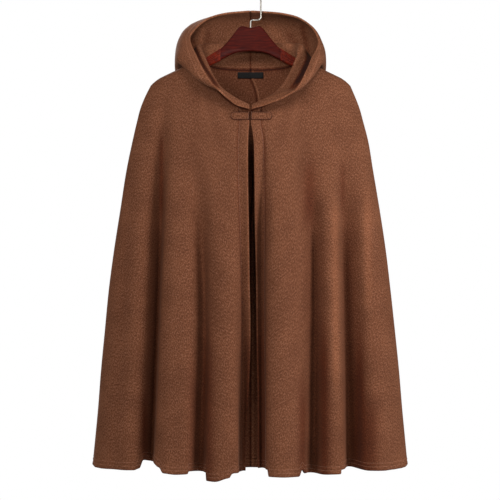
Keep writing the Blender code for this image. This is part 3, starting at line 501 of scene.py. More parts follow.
def linear(hex_colour):
    """An sRGB hex colour as linear red, green, blue and alpha."""
    channels = [int(hex_colour[i : i + 2], 16) / 255.0 for i in (1, 3, 5)]
    return (*[c / 12.92 if c <= 0.04045 else ((c + 0.055) / 1.055) ** 2.4 for c in channels], 1.0)


def smooth_at(at, table):
    """The table's other columns at `at`, on a smooth curve through its rows, held at its ends."""
    places, values = table[:, 0], table[:, 1:]
    slopes = np.gradient(values, places, axis=0)
    at = np.asarray(at, float)
    i = np.clip(np.searchsorted(places, at) - 1, 0, len(places) - 2)
    span = (places[i + 1] - places[i])[..., None]
    t = np.clip((at - places[i])[..., None] / span, 0.0, 1.0)
    rise = t * t * (3.0 - 2.0 * t)
    return (
        values[i] * (1.0 - rise)
        + values[i + 1] * rise
        + slopes[i] * span * t * (1.0 - t) ** 2
        - slopes[i + 1] * span * t * t * (1.0 - t)
    )


def stepped(at, table):
    """The table's second column at `at`, level at each of its rows."""
    places, values = table.T
    i = np.clip(np.searchsorted(places, at) - 1, 0, len(places) - 2)
    return values[i] + (values[i + 1] - values[i]) * eased(places[i], places[i + 1], at)


def eased(start, end, value):
    """A smooth rise from 0 at start to 1 at end, which may also lie below it."""
    t = np.clip((value - start) / (end - start), 0.0, 1.0)
    return t * t * (3.0 - 2.0 * t)


def unit(vectors):
    """The vectors at length 1."""
    return vectors / np.maximum(np.linalg.norm(vectors, axis=-1, keepdims=True), 1e-12)


def ridge_line(across):
    """The drop of the straight shoulder line at a distance from the middle."""
    return RIDGE_DROP + RIDGE_SLOPE * (across - RIDGE_AT)


def ridge_drop(across):
    """The drop of the shoulder line, curved down at its end."""
    return ridge_line(across) + END_ROUND * np.maximum(across - RIDGE_END, 0.0) ** 2


def trough(fold, across, drop):
    """How fully a point lies in a trough, its distance from the trough's middle, and its depth."""
    start, at_start, at_mid, at_hem, mid_depth, hem_depth, inner, outer = fold
    path = np.array([(start, at_start), (MID_DROP, at_mid), (HEM_DROP, at_hem)])
    off = across - smooth_at(drop, path)[..., 0]
    width = np.where(off < 0.0, inner, outer)
    depth = mid_depth * eased(start, MID_DROP, drop)
    depth = depth + (hem_depth - mid_depth) * np.clip((drop - MID_DROP) / (HEM_DROP - MID_DROP), 0.0, 1.0)
    return np.exp(-((off / width) ** 2)), off, depth


def creased(face, side, across, drop):
    """How far the creases move the cloth outwards."""
    rise = np.zeros_like(across)
    for start, full, at_start, at_mid, at_hem, height, inner, outer in CREASES[face, side]:
        bent = max(MID_DROP, start + CREASE_BEND)
        path = np.array([(start, at_start), (bent, at_mid), (HEM_DROP, at_hem)])
        off = across - smooth_at(drop, path)[..., 0]
        section = np.abs(off / np.where(off < 0.0, inner, outer)) ** (CRISP if height > 0.0 else SOFT)
        rise = rise + height * eased(start, full, drop) * np.exp(-section)
    return rise


def painted_fold_light(side, seen, drop):
    """How much shade or light is painted beside the folds of a front."""
    total = np.zeros_like(seen)
    for start, full, fade, end, across, width, press in FOLD_PAINTED_LIGHT[side]:
        along = eased(start, full, drop) * (1.0 - eased(fade, end, drop))
        total += press * lined(seen, across, width) * along
    return total


def painted_hood_creases(side, points):
    """How much shade or light is painted inside one half of the hood for its soft creases."""
    seen = np.stack([np.abs(points[..., 0]), -points[..., 2]], axis=-1)
    total = np.zeros(seen.shape[:2])
    for *ends, width, press in HOOD_PAINTED_CREASES[side]:
        start, end = np.array(ends).reshape(2, 2)
        run = end - start
        at = np.clip((seen - start) @ run / (run @ run), 0.0, 1.0)[..., None]
        total += press * lined(np.linalg.norm(seen - start - at * run, axis=-1), 0.0, width)
    return total


def painted_roll_shade(side, points):
    """How much shade is painted on the hood in the valley behind its standing roll."""
    drop = -points[..., 2]
    at = np.interp(drop, *ROLL_LINE[side].T)
    shade = np.exp(-(((np.abs(points[..., 0]) - at) / ROLL_WIDTH[side]) ** 4))
    for limits, value in ((ROLL_TOP, drop), (ROLL_END, drop), (ROLL_BEHIND, points[..., 1])):
        shade = shade * eased(*limits, value)
    shade[-len(RIM_BAND) - ROLL_CLEAR :] = 0.0
    return ROLL_PAINTED_SHADE[side] * shade


def hollow(face, side, across, drop):
    """How far a point lies inside the troughs, from 0 to 1."""
    deep = np.zeros_like(across)
    for fold in FOLDS[face, side]:
        full, _, fall = trough(fold, across, drop)
        deep = np.maximum(deep, full * np.minimum(fall / DEEP, 1.0))
    return deep


def edge_at(face, side, drop):
    """Where the inner edge of a panel stands off the middle."""
    if face == BACK:
        return SIGN[side] * smooth_at(drop, BACK_SEAM)[..., 0]
    return smooth_at(drop, EDGES)[..., side]


def half_width(side, drop):
    """How far the side seam stands off the middle."""
    return smooth_at(drop, OUTLINE)[..., side]


def cloth_point(face, side, part, drop):
    """A point of the outside of the cape. part runs from 0 at the inner edge to 1 at the side seam."""
    part, drop = np.broadcast_arrays(np.asarray(part, float), np.asarray(drop, float))
    edge = edge_at(face, side, drop)
    across = edge + part * (half_width(side, drop) - edge)
    below = np.maximum(drop - ridge_drop(across), 0.0)
    rolled = np.sqrt(RIDGE_RADIUS**2 - np.maximum(RIDGE_RADIUS - below, 0.0) ** 2)
    depth = rolled * np.sqrt(np.maximum(1.0 - part**ARM_FADE, 0.0))
    depth = depth + SWELL[face] * (below / HANG) ** SWELL_POWER * np.sqrt(
        np.maximum(1.0 - np.abs(part) ** PROFILE_POWER, 0.0)
    )
    calm = 1.0 - part**FOLD_FADE
    if face == BACK:
        calm = calm * eased(0.0, SEAM_CALM, across - edge)
    shift = np.zeros_like(across)
    for fold, leans in zip(FOLDS[face, side], LEANS[face, side]):
        full, off, fall = trough(fold, across, drop)
        depth = depth - fall * full * calm
        whole = np.minimum(fall / max(fold[4:6]), 1.0)
        shift = shift - PINCH * np.minimum(fall / fold[4], 1.0) * off * full * calm
        lean, width = np.where(off < 0.0, leans[0], leans[1]), np.where(off < 0.0, fold[6], fold[7])
        beside = np.exp(-(((np.abs(off) / width - LEAN_AT) / LEAN_WIDTH) ** 2))
        shift = shift - np.sign(off) * lean * whole * beside * calm
    depth = depth + creased(face, side, across, drop) * calm
    return np.stack([SIGN[side] * (across + shift), FACING[face] * depth, -drop], axis=-1)


def cloth_normal(face, side, part, drop, step=0.0008):
    """The outward direction of the cape at a point."""
    here = cloth_point(face, side, part, drop)
    round_it = cloth_point(face, side, part + step, drop) - here
    down_it = cloth_point(face, side, part, drop + step) - here
    return unit(np.cross(round_it, down_it)) * SIGN[side] * FACING[face]


def distances(points, axis):
    """How far along the rows (axis 0) or columns (axis 1) of a grid each of its points is."""
    long = np.linalg.norm(np.diff(points, axis=axis), axis=-1)
    return np.concatenate([np.zeros_like(long.take([0], axis=axis)), np.cumsum(long, axis=axis)], axis=axis)


def length_along(line):
    """How far along a line each of its points is, from 0 to 1."""
    long = distances(line, 0)
    return long / long[-1]


def band(lines=(), reach=0.0125):
    """Distances from an edge, close together at its rounding and beside each line of stitches."""
    beside = [line / MM + off for line in lines for off in BESIDE_LINE]
    fill = [
        d for d in np.arange(NEAR_EDGE[-1] + FILL_STEP, reach / MM, FILL_STEP)
        if all(abs(d - b) > FILL_GAP for b in beside)
    ]
    return np.array(sorted({*NEAR_EDGE, *beside, *fill, reach / MM})) * MM


FRONT_BAND, HEM_BAND = band(FRONT_LINES, reach=0.0255), band(HEM_LINES, reach=0.0210)
RIM_BAND, SEAM_BAND = band(RIM_LINES, reach=0.0190), band()
ROLL = RIDGE_RADIUS * (1.0 - np.cos(np.linspace(0.0, math.pi / 2.0, ROLL_STEPS)))


def panel_places(face, side):
    """The grid of a panel: part across, drop, and how many columns end at the neck seam."""
    inner = FRONT_BAND if face == FRONT else SEAM_BAND
    neck_part = NECK_SIDE / SHOULDER
    first = inner[-1] / SHOULDER
    fine = np.linspace(first, neck_part, FINE)
    seam = cloth_point(face, side, fine, smooth_at(fine * SHOULDER, NECK[face])[..., 0])
    neck_count = round(PANEL_COLUMNS * NECK_SHARE)
    neck = np.interp(np.linspace(0.0, 1.0, neck_count), length_along(seam), fine)
    beyond = np.linspace(neck_part, 1.0, PANEL_COLUMNS - neck_count + len(SEAM_BAND))
    top = np.concatenate([neck, beyond[1:]])
    fine = np.linspace(inner[-1] / half_width(side, HEM_DROP), 1.0, FINE)
    line = cloth_point(face, side, fine, HEM_DROP)
    line[:, 2] = STEP_CROWDING * stepped(np.abs(line[:, 0]), HEM[face, side])
    ring = distances(line, 0)
    arcs = np.linspace(0.0, ring[-1] - SEAM_BAND[-1], len(top) - len(SEAM_BAND) + 1)
    arcs = np.concatenate([arcs, ring[-1] - SEAM_BAND[-2::-1]])
    hem = np.interp(arcs, ring, fine)
    top = np.concatenate([inner[:-1] / SHOULDER, top])
    hem = np.concatenate([inner[:-1] / half_width(side, HEM_DROP), hem])
    top_drop = np.where(
        top <= neck_part + 1e-9, smooth_at(top * SHOULDER, NECK[face])[..., 0], ridge_drop(top * SHOULDER)
    )
    seen = np.abs(cloth_point(face, side, hem, HEM_DROP)[..., 0])
    hem_drop = stepped(seen, HEM[face, side])
    even = np.linspace(0.0, 1.0, PANEL_ROWS + 1)[:, None] ** ROW_CROWDING
    high, low = top_drop + ROLL[-1], hem_drop - HEM_BAND[-1]
    drop = np.concatenate([
        top_drop + ROLL[:-1, None],
        high + (low - high) * even[:-1],
        hem_drop - HEM_BAND[::-1, None],
    ])
    down = (drop - top_drop) / (hem_drop - top_drop)
    part = top + (hem - top) * down**COLUMN_SPREAD
    edge = edge_at(face, side, drop[:, : len(inner)])
    part[:, : len(inner)] = inner / (half_width(side, drop[:, : len(inner)]) - edge)
    return part, drop, len(inner) - 1 + neck_count


def panel_surface(face, side):
    """The outside points of a panel, their outward directions, and the grid's places."""
    part, drop, neck_count = panel_places(face, side)
    points = cloth_point(face, side, part, drop)
    across, down = np.gradient(points, axis=1), np.gradient(points, axis=0)
    normals = unit(np.cross(across, down)) * SIGN[side] * FACING[face]
    points[:, -1, 1] = 0.0
    points[0, neck_count - 1 :, 1] = 0.0
    if face == BACK:
        normals[:, 0] = unit(normals[:, 0] * (0.0, 1.0, 1.0))
    border = np.concatenate([points[0, neck_count - 1 :], points[1:, -1]])
    forward = np.gradient(border, axis=0)
    outward = np.stack([-forward[:, 2], np.zeros(len(border)), forward[:, 0]], axis=-1) * SIGN[side]
    corner = len(part[0]) - neck_count + 1
    normals[0, neck_count - 1 :] = outward[:corner]
    normals[1:, -1] = outward[corner:]
    return points, unit(normals), part, drop, neck_count


def crowded(steps):
    """Fractions up to 1 that lie closer together near 0 and 1."""
    return 0.5 - 0.5 * np.cos(math.pi * np.arange(1, steps + 1) / steps)


def hood_surface(side):
    """The outside of one half of the hood from the neck seam to the rim, and its outward directions."""
    front, front_normals, front_part, _, front_count = panel_surface(FRONT, side)
    back, back_normals, back_part, _, back_count = panel_surface(BACK, side)
    neck, behind = slice(0, front_count), slice(back_count - 2, None, -1)
    seam = np.concatenate([front[0, neck], back[0, behind]])
    leaning = np.concatenate([front_normals[0, neck], back_normals[0, behind]])
    seam[front_count - 1, 1] = 0.0
    along = unit(np.gradient(seam, axis=0))
    halfway = 0.5 * SHOULDER / NECK_SIDE
    places = np.concatenate([front_part[0, neck] * halfway, 1.0 - back_part[0, behind] * halfway])
    stations = [seam]
    for line in (CREST, VALLEY, FOLD, SWELLING, BROW, RIM):
        across, depth, drop = np.moveaxis(smooth_at(places, line)[..., 3 * side : 3 * side + 3], -1, 0)
        if line is RIM or line is BROW:
            drop = drop - CROWN_LIFT * eased(CROWN_FROM, CROWN_FULL, places)
        stations.append(np.stack([SIGN[side] * np.maximum(across, 0.0), depth, -drop], axis=-1))
    knots = np.arange(len(stations))
    rows = np.concatenate([[0.0]] + [i + crowded(n) for i, n in enumerate(HOOD_STEPS)])
    points = np.zeros((len(rows) + len(RIM_BAND) - 1, len(seam), 3))
    for k in range(len(seam)):
        profile = np.array([station[k] for station in stations])
        turns = length_along(profile)
        long = distances(profile, 0)[-1]
        fine = np.linspace(0.0, 1.0, max(PROFILE_POINTS, round(long / PROFILE_STEP)))
        profile = smooth_at(fine, np.column_stack([turns, profile]))
        for _ in range(SOFTENING):
            profile[1:-1] = (profile[:-2] + 2.0 * profile[1:-1] + profile[2:]) / 4.0
        long = distances(profile, 0)[-1]
        rim = RIM_BAND * min(1.0, RIM_SHARE * long / RIM_BAND[-1]) / long
        at = np.interp(rows, knots, turns) * (1.0 - rim[-1])
        at = np.concatenate([at, 1.0 - rim[-2::-1]])
        points[:, k] = smooth_at(at, np.column_stack([length_along(profile), profile]))
    points[:, -1, 0] = 0.0
    up, round_it = np.gradient(points, axis=0), unit(np.gradient(points, axis=1))
    throat = eased(THROAT, 0.0, places)[:, None]
    round_it = round_it * (1.0 - throat) + along * throat
    normals = unit(np.cross(round_it, up)) * SIGN[side]
    normals[0] = leaning
    normals[:, -1, 0] = 0.0
    return points, unit(normals)


def rounded(distance, radius):
    """How full the wall is near an edge that is rounded to this radius."""
    return np.sqrt(1.0 - (1.0 - np.clip(distance / radius, BLUNT, 1.0)) ** 2)


def wall_near(*edges):
    """How full the cloth's wall is at these distances from its edges."""
    return math.prod(rounded(distance, EDGE_RADIUS) for distance in edges)


def lined(distance, at, width):
    """How close a point is to a line that runs at a distance from an edge, from 0 to 1."""
    return np.exp(-(((distance - at) / width) ** 2))


def marked(distance, press, at, width):
    """How much shade is painted, or light below zero, near such a line."""
    return press * lined(distance, at, width)


def sewn_edge(distance, turn, lines, dip=STITCH_DIP, width=DIP_WIDTH):
    """How far a turned-back edge stands out, and dips at its lines of stitches."""
    rise = TURN_RISE * (1.0 - eased(turn, turn + TURN_FADE, distance))
    return rise - sum(dip * lined(distance, line, width) for line in lines)


def turned_back(distance, turn):
    """The thickness of a turned-back layer inside, at a distance from its fold."""
    return TURN_LAYER * (1.0 - eased(turn, turn + MM, distance))


def seam_dip(distance):
    """How far the cloth sinks beside a seam, as a height below zero."""
    return -SEAM_DIP * lined(distance, 0.0, SEAM_WIDTH)


def allowance(distance):
    """The thickness of a seam allowance that is pressed to one side inside, along its seam."""
    return SEAM_LAYER * eased(0.0, MM, distance) * (1.0 - eased(SEAM_REACH, SEAM_REACH + MM, distance))


def skins(points, normals, full, rise, layer):
    """Outside and inside of the cloth; rise lifts the one and layer thickens the other."""
    middle = points - normals * WALL / 2.0
    outside = middle + normals * (WALL / 2.0 * full + rise * full)[..., None]
    return outside, middle - normals * ((WALL / 2.0 + layer) * full)[..., None]


def in_scene(name, data):
    """An object of the scene with this data."""
    item = bpy.data.objects.new(name, data)
    bpy.context.scene.collection.objects.link(item)
    return item


def new_object(name, mesh, finish):
    """A mesh as an object of the scene, with its material."""
    mesh.materials.clear()
    mesh.materials.append(finish)
    return in_scene(name, mesh)


def plain_mesh(item):
    """What an object looks like with its modifiers, as a plain mesh; the object goes."""
    graph = bpy.context.evaluated_depsgraph_get()
    mesh = bpy.data.meshes.new_from_object(item.evaluated_get(graph))
    bpy.data.objects.remove(item)
    return mesh


def grid_faces(rows, columns, wrap=False):
    """The quads of a grid of points that is numbered row by row."""
    last = columns if wrap else columns - 1
    r, c = (a.ravel() for a in np.meshgrid(np.arange(rows - 1), np.arange(last), indexing="ij"))
    here, after = r * columns + c, r * columns + (c + 1) % columns
    return np.stack([here, after, after + columns, here + columns], axis=-1)


def border_of(rows, columns):
    """The numbers of a grid's points round its border, in order."""
    top = np.arange(columns)
    side = np.arange(1, rows) * columns + columns - 1
    bottom = (rows - 1) * columns + np.arange(columns - 2, -1, -1)
    back = np.arange(rows - 2, 0, -1) * columns
    return np.concatenate([top, side, bottom, back])


def shell(name, outside, inside, uv, finish, press=0.0, within=0.0):
    """A closed thin wall between two skins of the same grid, with its pattern laid out in metres.

    press tells how much shade (above zero) or light (below zero) is painted on both skins, and
    within how much more is painted on the inside."""
    rows, columns = outside.shape[:2]
    count = rows * columns
    quads = grid_faces(rows, columns)
    ring = border_of(rows, columns)
    after = np.roll(ring, -1)
    sides = np.stack([after, ring, ring + count, after + count], axis=-1)
    points = np.concatenate([outside.reshape(-1, 3), inside.reshape(-1, 3)])
    mesh = bpy.data.meshes.new(name)
    mesh.from_pydata(points.tolist(), [], np.concatenate([quads, quads[:, ::-1] + count, sides]).tolist())
    put_out(mesh)
    places = np.tile(uv.reshape(-1, 2), (2, 1))
    corners = np.zeros(len(mesh.loops), int)
    mesh.loops.foreach_get("vertex_index", corners)
    mesh.uv_layers.new(name="grain").data.foreach_set("uv", places[corners].ravel())
    press, within = (np.broadcast_to(values, uv.shape[:2]).ravel() for values in (press, within))
    # This attribute holds the painted shade (above zero) and painted light (below zero) that the wool
    # multiplies in.
    nap = mesh.attributes.new("press", "FLOAT", "POINT")
    nap.data.foreach_set("value", np.concatenate([press, press + within]))
    mesh.shade_smooth()
    return new_object(name, mesh, finish)


def put_out(mesh, weld=0.0):
    """Turns a closed mesh's faces outwards, after joining points that are closer than weld."""
    work = bmesh.new()
    work.from_mesh(mesh)
    if weld:
        bmesh.ops.remove_doubles(work, verts=work.verts, dist=weld)
    bmesh.ops.recalc_face_normals(work, faces=work.faces)
    work.to_mesh(mesh)
    work.free()


def grain(points):
    """Where the cloth's threads lie: metres along the rows and down the columns."""
    return np.stack([distances(points, 1), distances(points, 0)], axis=-1)


def dressed(piece, slot, *nodes):
    """Puts a finished piece on the body in place of its solids. The slot is not used."""
    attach(piece, "root")
    if nodes:
        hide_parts(*nodes)
    return piece


def make_panel(face, side, word, finish):
    """One panel of the cape, and the lines that its stitches follow."""
    points, normals, part, drop, _ = panel_surface(face, side)
    round_row, from_top = distances(points, 1), distances(points, 0)
    to_side, to_hem = round_row[:, -1:] - round_row, drop[-1] - drop
    from_edge = part * (half_width(side, drop) - edge_at(face, side, drop))
    deep = hollow(face, side, edge_at(face, side, drop) + from_edge, drop)
    rise = seam_dip(to_side) + seam_dip(from_top) + sewn_edge(to_hem, HEM_TURN, HEM_LINES)
    layer = turned_back(to_hem, HEM_TURN)
    # Painted highlights along the hem's stitch lines, less in the troughs; painted shade along the neck and
    # side seams, at the hem's edge and in the troughs.
    press = sum(marked(to_hem, *ridge) for ridge in HEM_RIDGES) * (1.0 - HEM_RIDGE_LOSS * deep)
    press = press + marked(from_top, *PANEL_NECK) + marked(to_side, *SIDE_SEAM)
    press = press + marked(to_hem, *HEM_EDGE) + TROUGH_PAINTED_SHADE * deep
    if face == FRONT:
        rise = rise + sewn_edge(from_edge, FRONT_TURN, FRONT_LINES, FRONT_DIP, FRONT_DIP_WIDTH)
        layer = np.maximum(layer, turned_back(from_edge, FRONT_TURN))
        # Painted shade and light beside the front's folds, and painted shade along the stitch line of its
        # turned-back edge.
        press = press + painted_fold_light(side, np.abs(points[..., 0]), drop) + marked(from_edge, *FRONT_FOLD)
        # Painted highlight along the right front's edge, fading lower down.
        if side == RIGHT:
            press = press + marked(from_edge, *FRONT_EDGE) * (1.0 - eased(*FRONT_EDGE_END, drop))
    else:
        rise = rise + seam_dip(from_edge)
        layer = layer + seam_dip(from_edge)
        # Painted shade along the middle seam, and a painted highlight over its allowance on the left.
        press = press + marked(from_edge, *MIDDLE_SEAM)
        if side == LEFT:
            layer = layer + allowance(from_edge)
            press = press + marked(from_edge, *MIDDLE_RIDGE)
    full = wall_near(to_side, to_hem, from_top, from_edge)
    outside, inside = skins(points, normals, full, rise, layer + seam_dip(from_top))
    where = "back" if face == BACK else "front"
    # Painted shade inside the backs, none inside the fronts.
    panel = shell(f"cape_{where}_{word}", outside, inside, grain(points), finish, press, INSIDE_PAINTED_SHADE[face])
    sewn = outside + normals * THREAD_PROUD
    hem_rows = [len(part) - 1 - np.abs(HEM_BAND - line).argmin() for line in HEM_LINES]
    lines = [sewn[row, 1:-1] for row in hem_rows]
    if face == FRONT:
        column = np.abs(FRONT_BAND - FRONT_LINES[0]).argmin()
        lines.append(sewn[1 : hem_rows[0] + 1, column])
    return panel, lines


def make_hood(side, word, finish):
    """One half of the hood, and the line that its stitches follow."""
    points, normals = hood_surface(side)
    round_row, from_seam = distances(points, 1), distances(points, 0)
    to_rim, to_middle = from_seam[-1] - from_seam, round_row[:, -1:] - round_row
    room = eased(0.0, RIM_ROOM, from_seam[-1])
    rise = seam_dip(from_seam) + seam_dip(to_middle) + sewn_edge(to_rim, RIM_TURN, RIM_LINES) * room
    layer = turned_back(to_rim, RIM_TURN) * room + seam_dip(from_seam) + seam_dip(to_middle)
    if side == LEFT:
        layer = layer + allowance(to_middle)
    full = wall_near(from_seam, to_rim, to_middle, round_row)
    outside, inside = skins(points, normals, full, rise, layer)
    # Painted shade along the neck and middle seams and behind the roll; painted highlights on the rim's
    # stitch line and edge.
    press = marked(from_seam, *HOOD_NECK) + marked(to_middle, *MIDDLE_SEAM) + marked(to_rim, *RIM_RIDGE)
    press = press + marked(to_rim, *RIM_EDGE) + painted_roll_shade(side, points)
    # Painted shade and light for the soft creases inside the hood.
    within = painted_hood_creases(side, points)
    hood = shell(f"cape_hood_{word}", outside, inside, grain(points), finish, press, within)
    row = len(points) - 1 - np.abs(RIM_BAND - RIM_LINES[0]).argmin()
    sewn = (outside + normals * THREAD_PROUD)[row, 1:-1]
    return hood, [sewn[from_seam[-1, 1:-1] > RIM_ROOM]]


def link(tree, node, sources):
    """Gives inputs of a node a value each, or another node's output."""
    for key, source in sources.items():
        if isinstance(source, bpy.types.NodeSocket):
            tree.links.new(source, node.inputs[key])
        else:
            node.inputs[key].default_value = source


def add_node(tree, kind, sources=None, stops=(), **settings):
    """A new node with its settings and links; stops are a ramp's (place, hex colour) pairs."""
    node = tree.nodes.new(kind)
    for key, value in settings.items():
        setattr(node, key, value)
    for _ in stops[2:]:
        node.color_ramp.elements.new(0.5)
    for i, (place, colour) in enumerate(stops):
        node.color_ramp.elements[i].position = place
        node.color_ramp.elements[i].color = linear(colour)
    link(tree, node, sources or {})
    return node


def new_material(name):
    """A material, its node tree and its Principled shader."""
    material = bpy.data.materials.new(name)
    material.use_nodes = True
    return material, material.node_tree, material.node_tree.nodes["Principled BSDF"]


def brushed_wool():
    """Coat-weight wool, woven, fulled and brushed: matt, with a short nap that catches light at a
    glancing angle, flecked light and dark where the nap parts. Shade is painted into it, darker and
    redder, where the mesh's press is above zero: along seams, in troughs, inside and behind the
    hood's roll. Light is painted on ridges and stitch lines, where it is below zero."""
    material, tree, shader = new_material("brushed_wool")
    laid = add_node(tree, "ShaderNodeUVMap", uv_map="grain").outputs["UV"]
    upright = add_node(tree, "ShaderNodeMapping", {"Vector": laid, "Scale": NAP_STRETCH}).outputs["Vector"]
    fleck, cloud, nap = (
        add_node(tree, "ShaderNodeTexNoise", {
            "Vector": vector, "Scale": 1.0 / size, "Detail": detail, "Roughness": roughness,
        }).outputs["Fac"]
        for vector, size, detail, roughness in (
            (upright, FLECK, 2.0, 0.6), (laid, CLOUD, 3.0, 0.5), (upright, NAP, 3.0, 0.6),
        )
    )
    press = add_node(tree, "ShaderNodeAttribute", attribute_name="press").outputs["Fac"]
    level = add_node(tree, "ShaderNodeMapRange", {"Value": press, "From Min": -1.0}).outputs["Result"]
    # The third ramp is the painted light: white where light is painted, darker and redder where shade is
    # painted.
    wool, tint, painted_light_tint = (
        add_node(tree, "ShaderNodeValToRGB", {"Fac": factor}, stops).outputs["Color"]
        for factor, stops in (
            (fleck, [(0.28, "#6B3D26"), (0.50, "#985C3C"), (0.72, "#C48668")]),
            (cloud, [(0.3, "#E4E0DC"), (0.7, "#FFFFFF")]),
            (level, [(0.0, "#FFFFFF"), (0.5, "#BFBFBF"), (0.75, "#91735A"), (1.0, "#3C2014")]),
        )
    )
    for over in (tint, painted_light_tint):
        wool = add_node(tree, "ShaderNodeMix", {
            "Factor": 1.0, "A": wool, "B": over,
        }, data_type="RGBA", blend_type="MULTIPLY").outputs["Result"]
    bump = add_node(tree, "ShaderNodeBump", {"Height": nap, "Strength": 0.22, "Distance": 0.5 * MM})
    link(tree, shader, {
        "Base Color": wool, "Normal": bump.outputs["Normal"], "Roughness": 0.88, "Specular IOR Level": 0.2,
        "Sheen Weight": 0.08, "Sheen Roughness": 0.5, "Sheen Tint": linear("#C08A66"),
    })
    return material


def sewing_thread():
    """Spun polyester thread, a shade lighter than the wool, with a slight gloss."""
    material, tree, shader = new_material("sewing_thread")
    place = add_node(tree, "ShaderNodeTexCoord").outputs["Object"]
    twist = add_node(
        tree, "ShaderNodeTexNoise", {"Vector": place, "Scale": 1.0 / TWIST, **MOTTLED}
    ).outputs["Fac"]
    ramp = add_node(tree, "ShaderNodeValToRGB", {"Fac": twist}, [(0.3, "#7A4E39"), (0.7, "#9A6A52")])
    link(tree, shader, {"Base Color": ramp.outputs["Color"], "Roughness": 0.6})
    return material


def woven_tape():
    """Black satin-woven tape: smooth, with fine crosswise ribs and a soft gloss."""
    material, tree, shader = new_material("woven_tape")
    laid = add_node(tree, "ShaderNodeUVMap", uv_map="grain").outputs["UV"]
    ribs = add_node(
        tree, "ShaderNodeTexWave", {"Vector": laid, "Scale": 1.0 / (TAPE_RIB * WAVES)}, bands_direction="X"
    ).outputs["Fac"]
    dust = add_node(
        tree, "ShaderNodeTexNoise", {"Vector": laid, "Scale": 1.0 / DUST, **MOTTLED}
    ).outputs["Fac"]
    ramp = add_node(tree, "ShaderNodeValToRGB", {"Fac": dust}, [(0.3, "#100F0E"), (0.7, "#1C1A19")])
    bump = add_node(tree, "ShaderNodeBump", {"Height": ribs, "Strength": 0.4, "Distance": 0.2 * MM})
    link(tree, shader, {
        "Base Color": ramp.outputs["Color"], "Normal": bump.outputs["Normal"],
        "Roughness": 0.6, "Specular IOR Level": 0.15,
    })
    return material


def stained_mahogany():
    """Hardwood stained to dark mahogany and lacquered: grain runs along the arms under a satin gloss."""
    material, tree, shader = new_material("stained_mahogany")
    place = add_node(tree, "ShaderNodeTexCoord").outputs["Object"]
    along = add_node(tree, "ShaderNodeMapping", {"Vector": place, "Scale": WOOD_STRETCH}).outputs["Vector"]
    streaks, pores = (
        add_node(tree, "ShaderNodeTexNoise", {
            "Vector": along, "Scale": 1.0 / size, "Detail": detail, "Roughness": roughness,
        }).outputs["Fac"]
        for size, detail, roughness in ((STREAK, 6.0, 0.6), (PORE, 3.0, 0.7))
    )
    ramp = add_node(tree, "ShaderNodeValToRGB", {"Fac": streaks}, [
        (0.28, "#260605"), (0.5, "#390B06"), (0.75, "#4E140A"),
    ])
    bump = add_node(tree, "ShaderNodeBump", {"Height": pores, "Strength": 0.15, "Distance": 0.2 * MM})
    link(tree, shader, {
        "Base Color": ramp.outputs["Color"], "Normal": bump.outputs["Normal"], "Roughness": 0.55,
        "Specular IOR Level": 0.04, "Coat Weight": 0.01, "Coat Roughness": 0.2,
    })
    return material


def moulded_rubber():
    """Soft rubber moulded with ribs, red-brown to orange, with a dull sheen."""
    material, tree, shader = new_material("moulded_rubber")
    place = add_node(tree, "ShaderNodeTexCoord").outputs["Object"]
    mottle, skin = (
        add_node(
            tree, "ShaderNodeTexNoise", {"Vector": place, "Scale": 1.0 / size, **MOTTLED}
        ).outputs["Fac"]
        for size in (RUBBER_MOTTLE, RUBBER_SKIN)
    )
    ramp = add_node(tree, "ShaderNodeValToRGB", {"Fac": mottle}, [(0.3, "#420D05"), (0.7, "#6A1D09")])
    bump = add_node(tree, "ShaderNodeBump", {"Height": skin, "Strength": 0.15, "Distance": 0.1 * MM})
    link(tree, shader, {
        "Base Color": ramp.outputs["Color"], "Normal": bump.outputs["Normal"],
        "Roughness": 0.55, "Specular IOR Level": 0.1,
    })
    return material


def nickel_plate():
    """Nickel-plated steel wire: bright, faintly yellow, with fine drawing marks along it."""
    material, tree, shader = new_material("nickel_plate")
    place = add_node(tree, "ShaderNodeTexCoord").outputs["Object"]
    marks = add_node(
        tree, "ShaderNodeTexNoise", {"Vector": place, "Scale": 1.0 / WIRE_MARK, **MOTTLED}
    ).outputs["Fac"]
    ramp = add_node(tree, "ShaderNodeValToRGB", {"Fac": marks}, [(0.3, "#7F7A73"), (0.7, "#9C9790")])
    wear = add_node(tree, "ShaderNodeMapRange", {"Value": marks, "To Min": 0.30, "To Max": 0.42})
    link(tree, shader, {
        "Base Color": ramp.outputs["Color"], "Roughness": wear.outputs["Result"], "Metallic": 1.0,
    })
    return material


def pale_floor():
    """A matt, off-white studio floor."""
    material, tree, shader = new_material("pale_floor")
    place = add_node(tree, "ShaderNodeTexCoord").outputs["Object"]
    mottle = add_node(
        tree, "ShaderNodeTexNoise", {"Vector": place, "Scale": 1.0 / FLOOR_MOTTLE, **MOTTLED}
    ).outputs["Fac"]
    ramp = add_node(tree, "ShaderNodeValToRGB", {"Fac": mottle}, [(0.3, "#ECEAE6"), (0.7, "#F4F3F0")])
    link(tree, shader, {"Base Color": ramp.outputs["Color"], "Roughness": 0.9})
    return material


def node_group(name, inputs):
    """A Geometry Nodes tree with named inputs: (name, socket type, default)."""
    tree = bpy.data.node_groups.new(name, "GeometryNodeTree")
    tree.interface.new_socket("Geometry", in_out="INPUT", socket_type="NodeSocketGeometry")
    for label, kind, default in inputs:
        socket = tree.interface.new_socket(label, in_out="INPUT", socket_type=kind)
        if default is not None:
            socket.default_value = default
    tree.interface.new_socket("Geometry", in_out="OUTPUT", socket_type="NodeSocketGeometry")
    return tree, tree.nodes.new("NodeGroupInput").outputs, tree.nodes.new("NodeGroupOutput").inputs


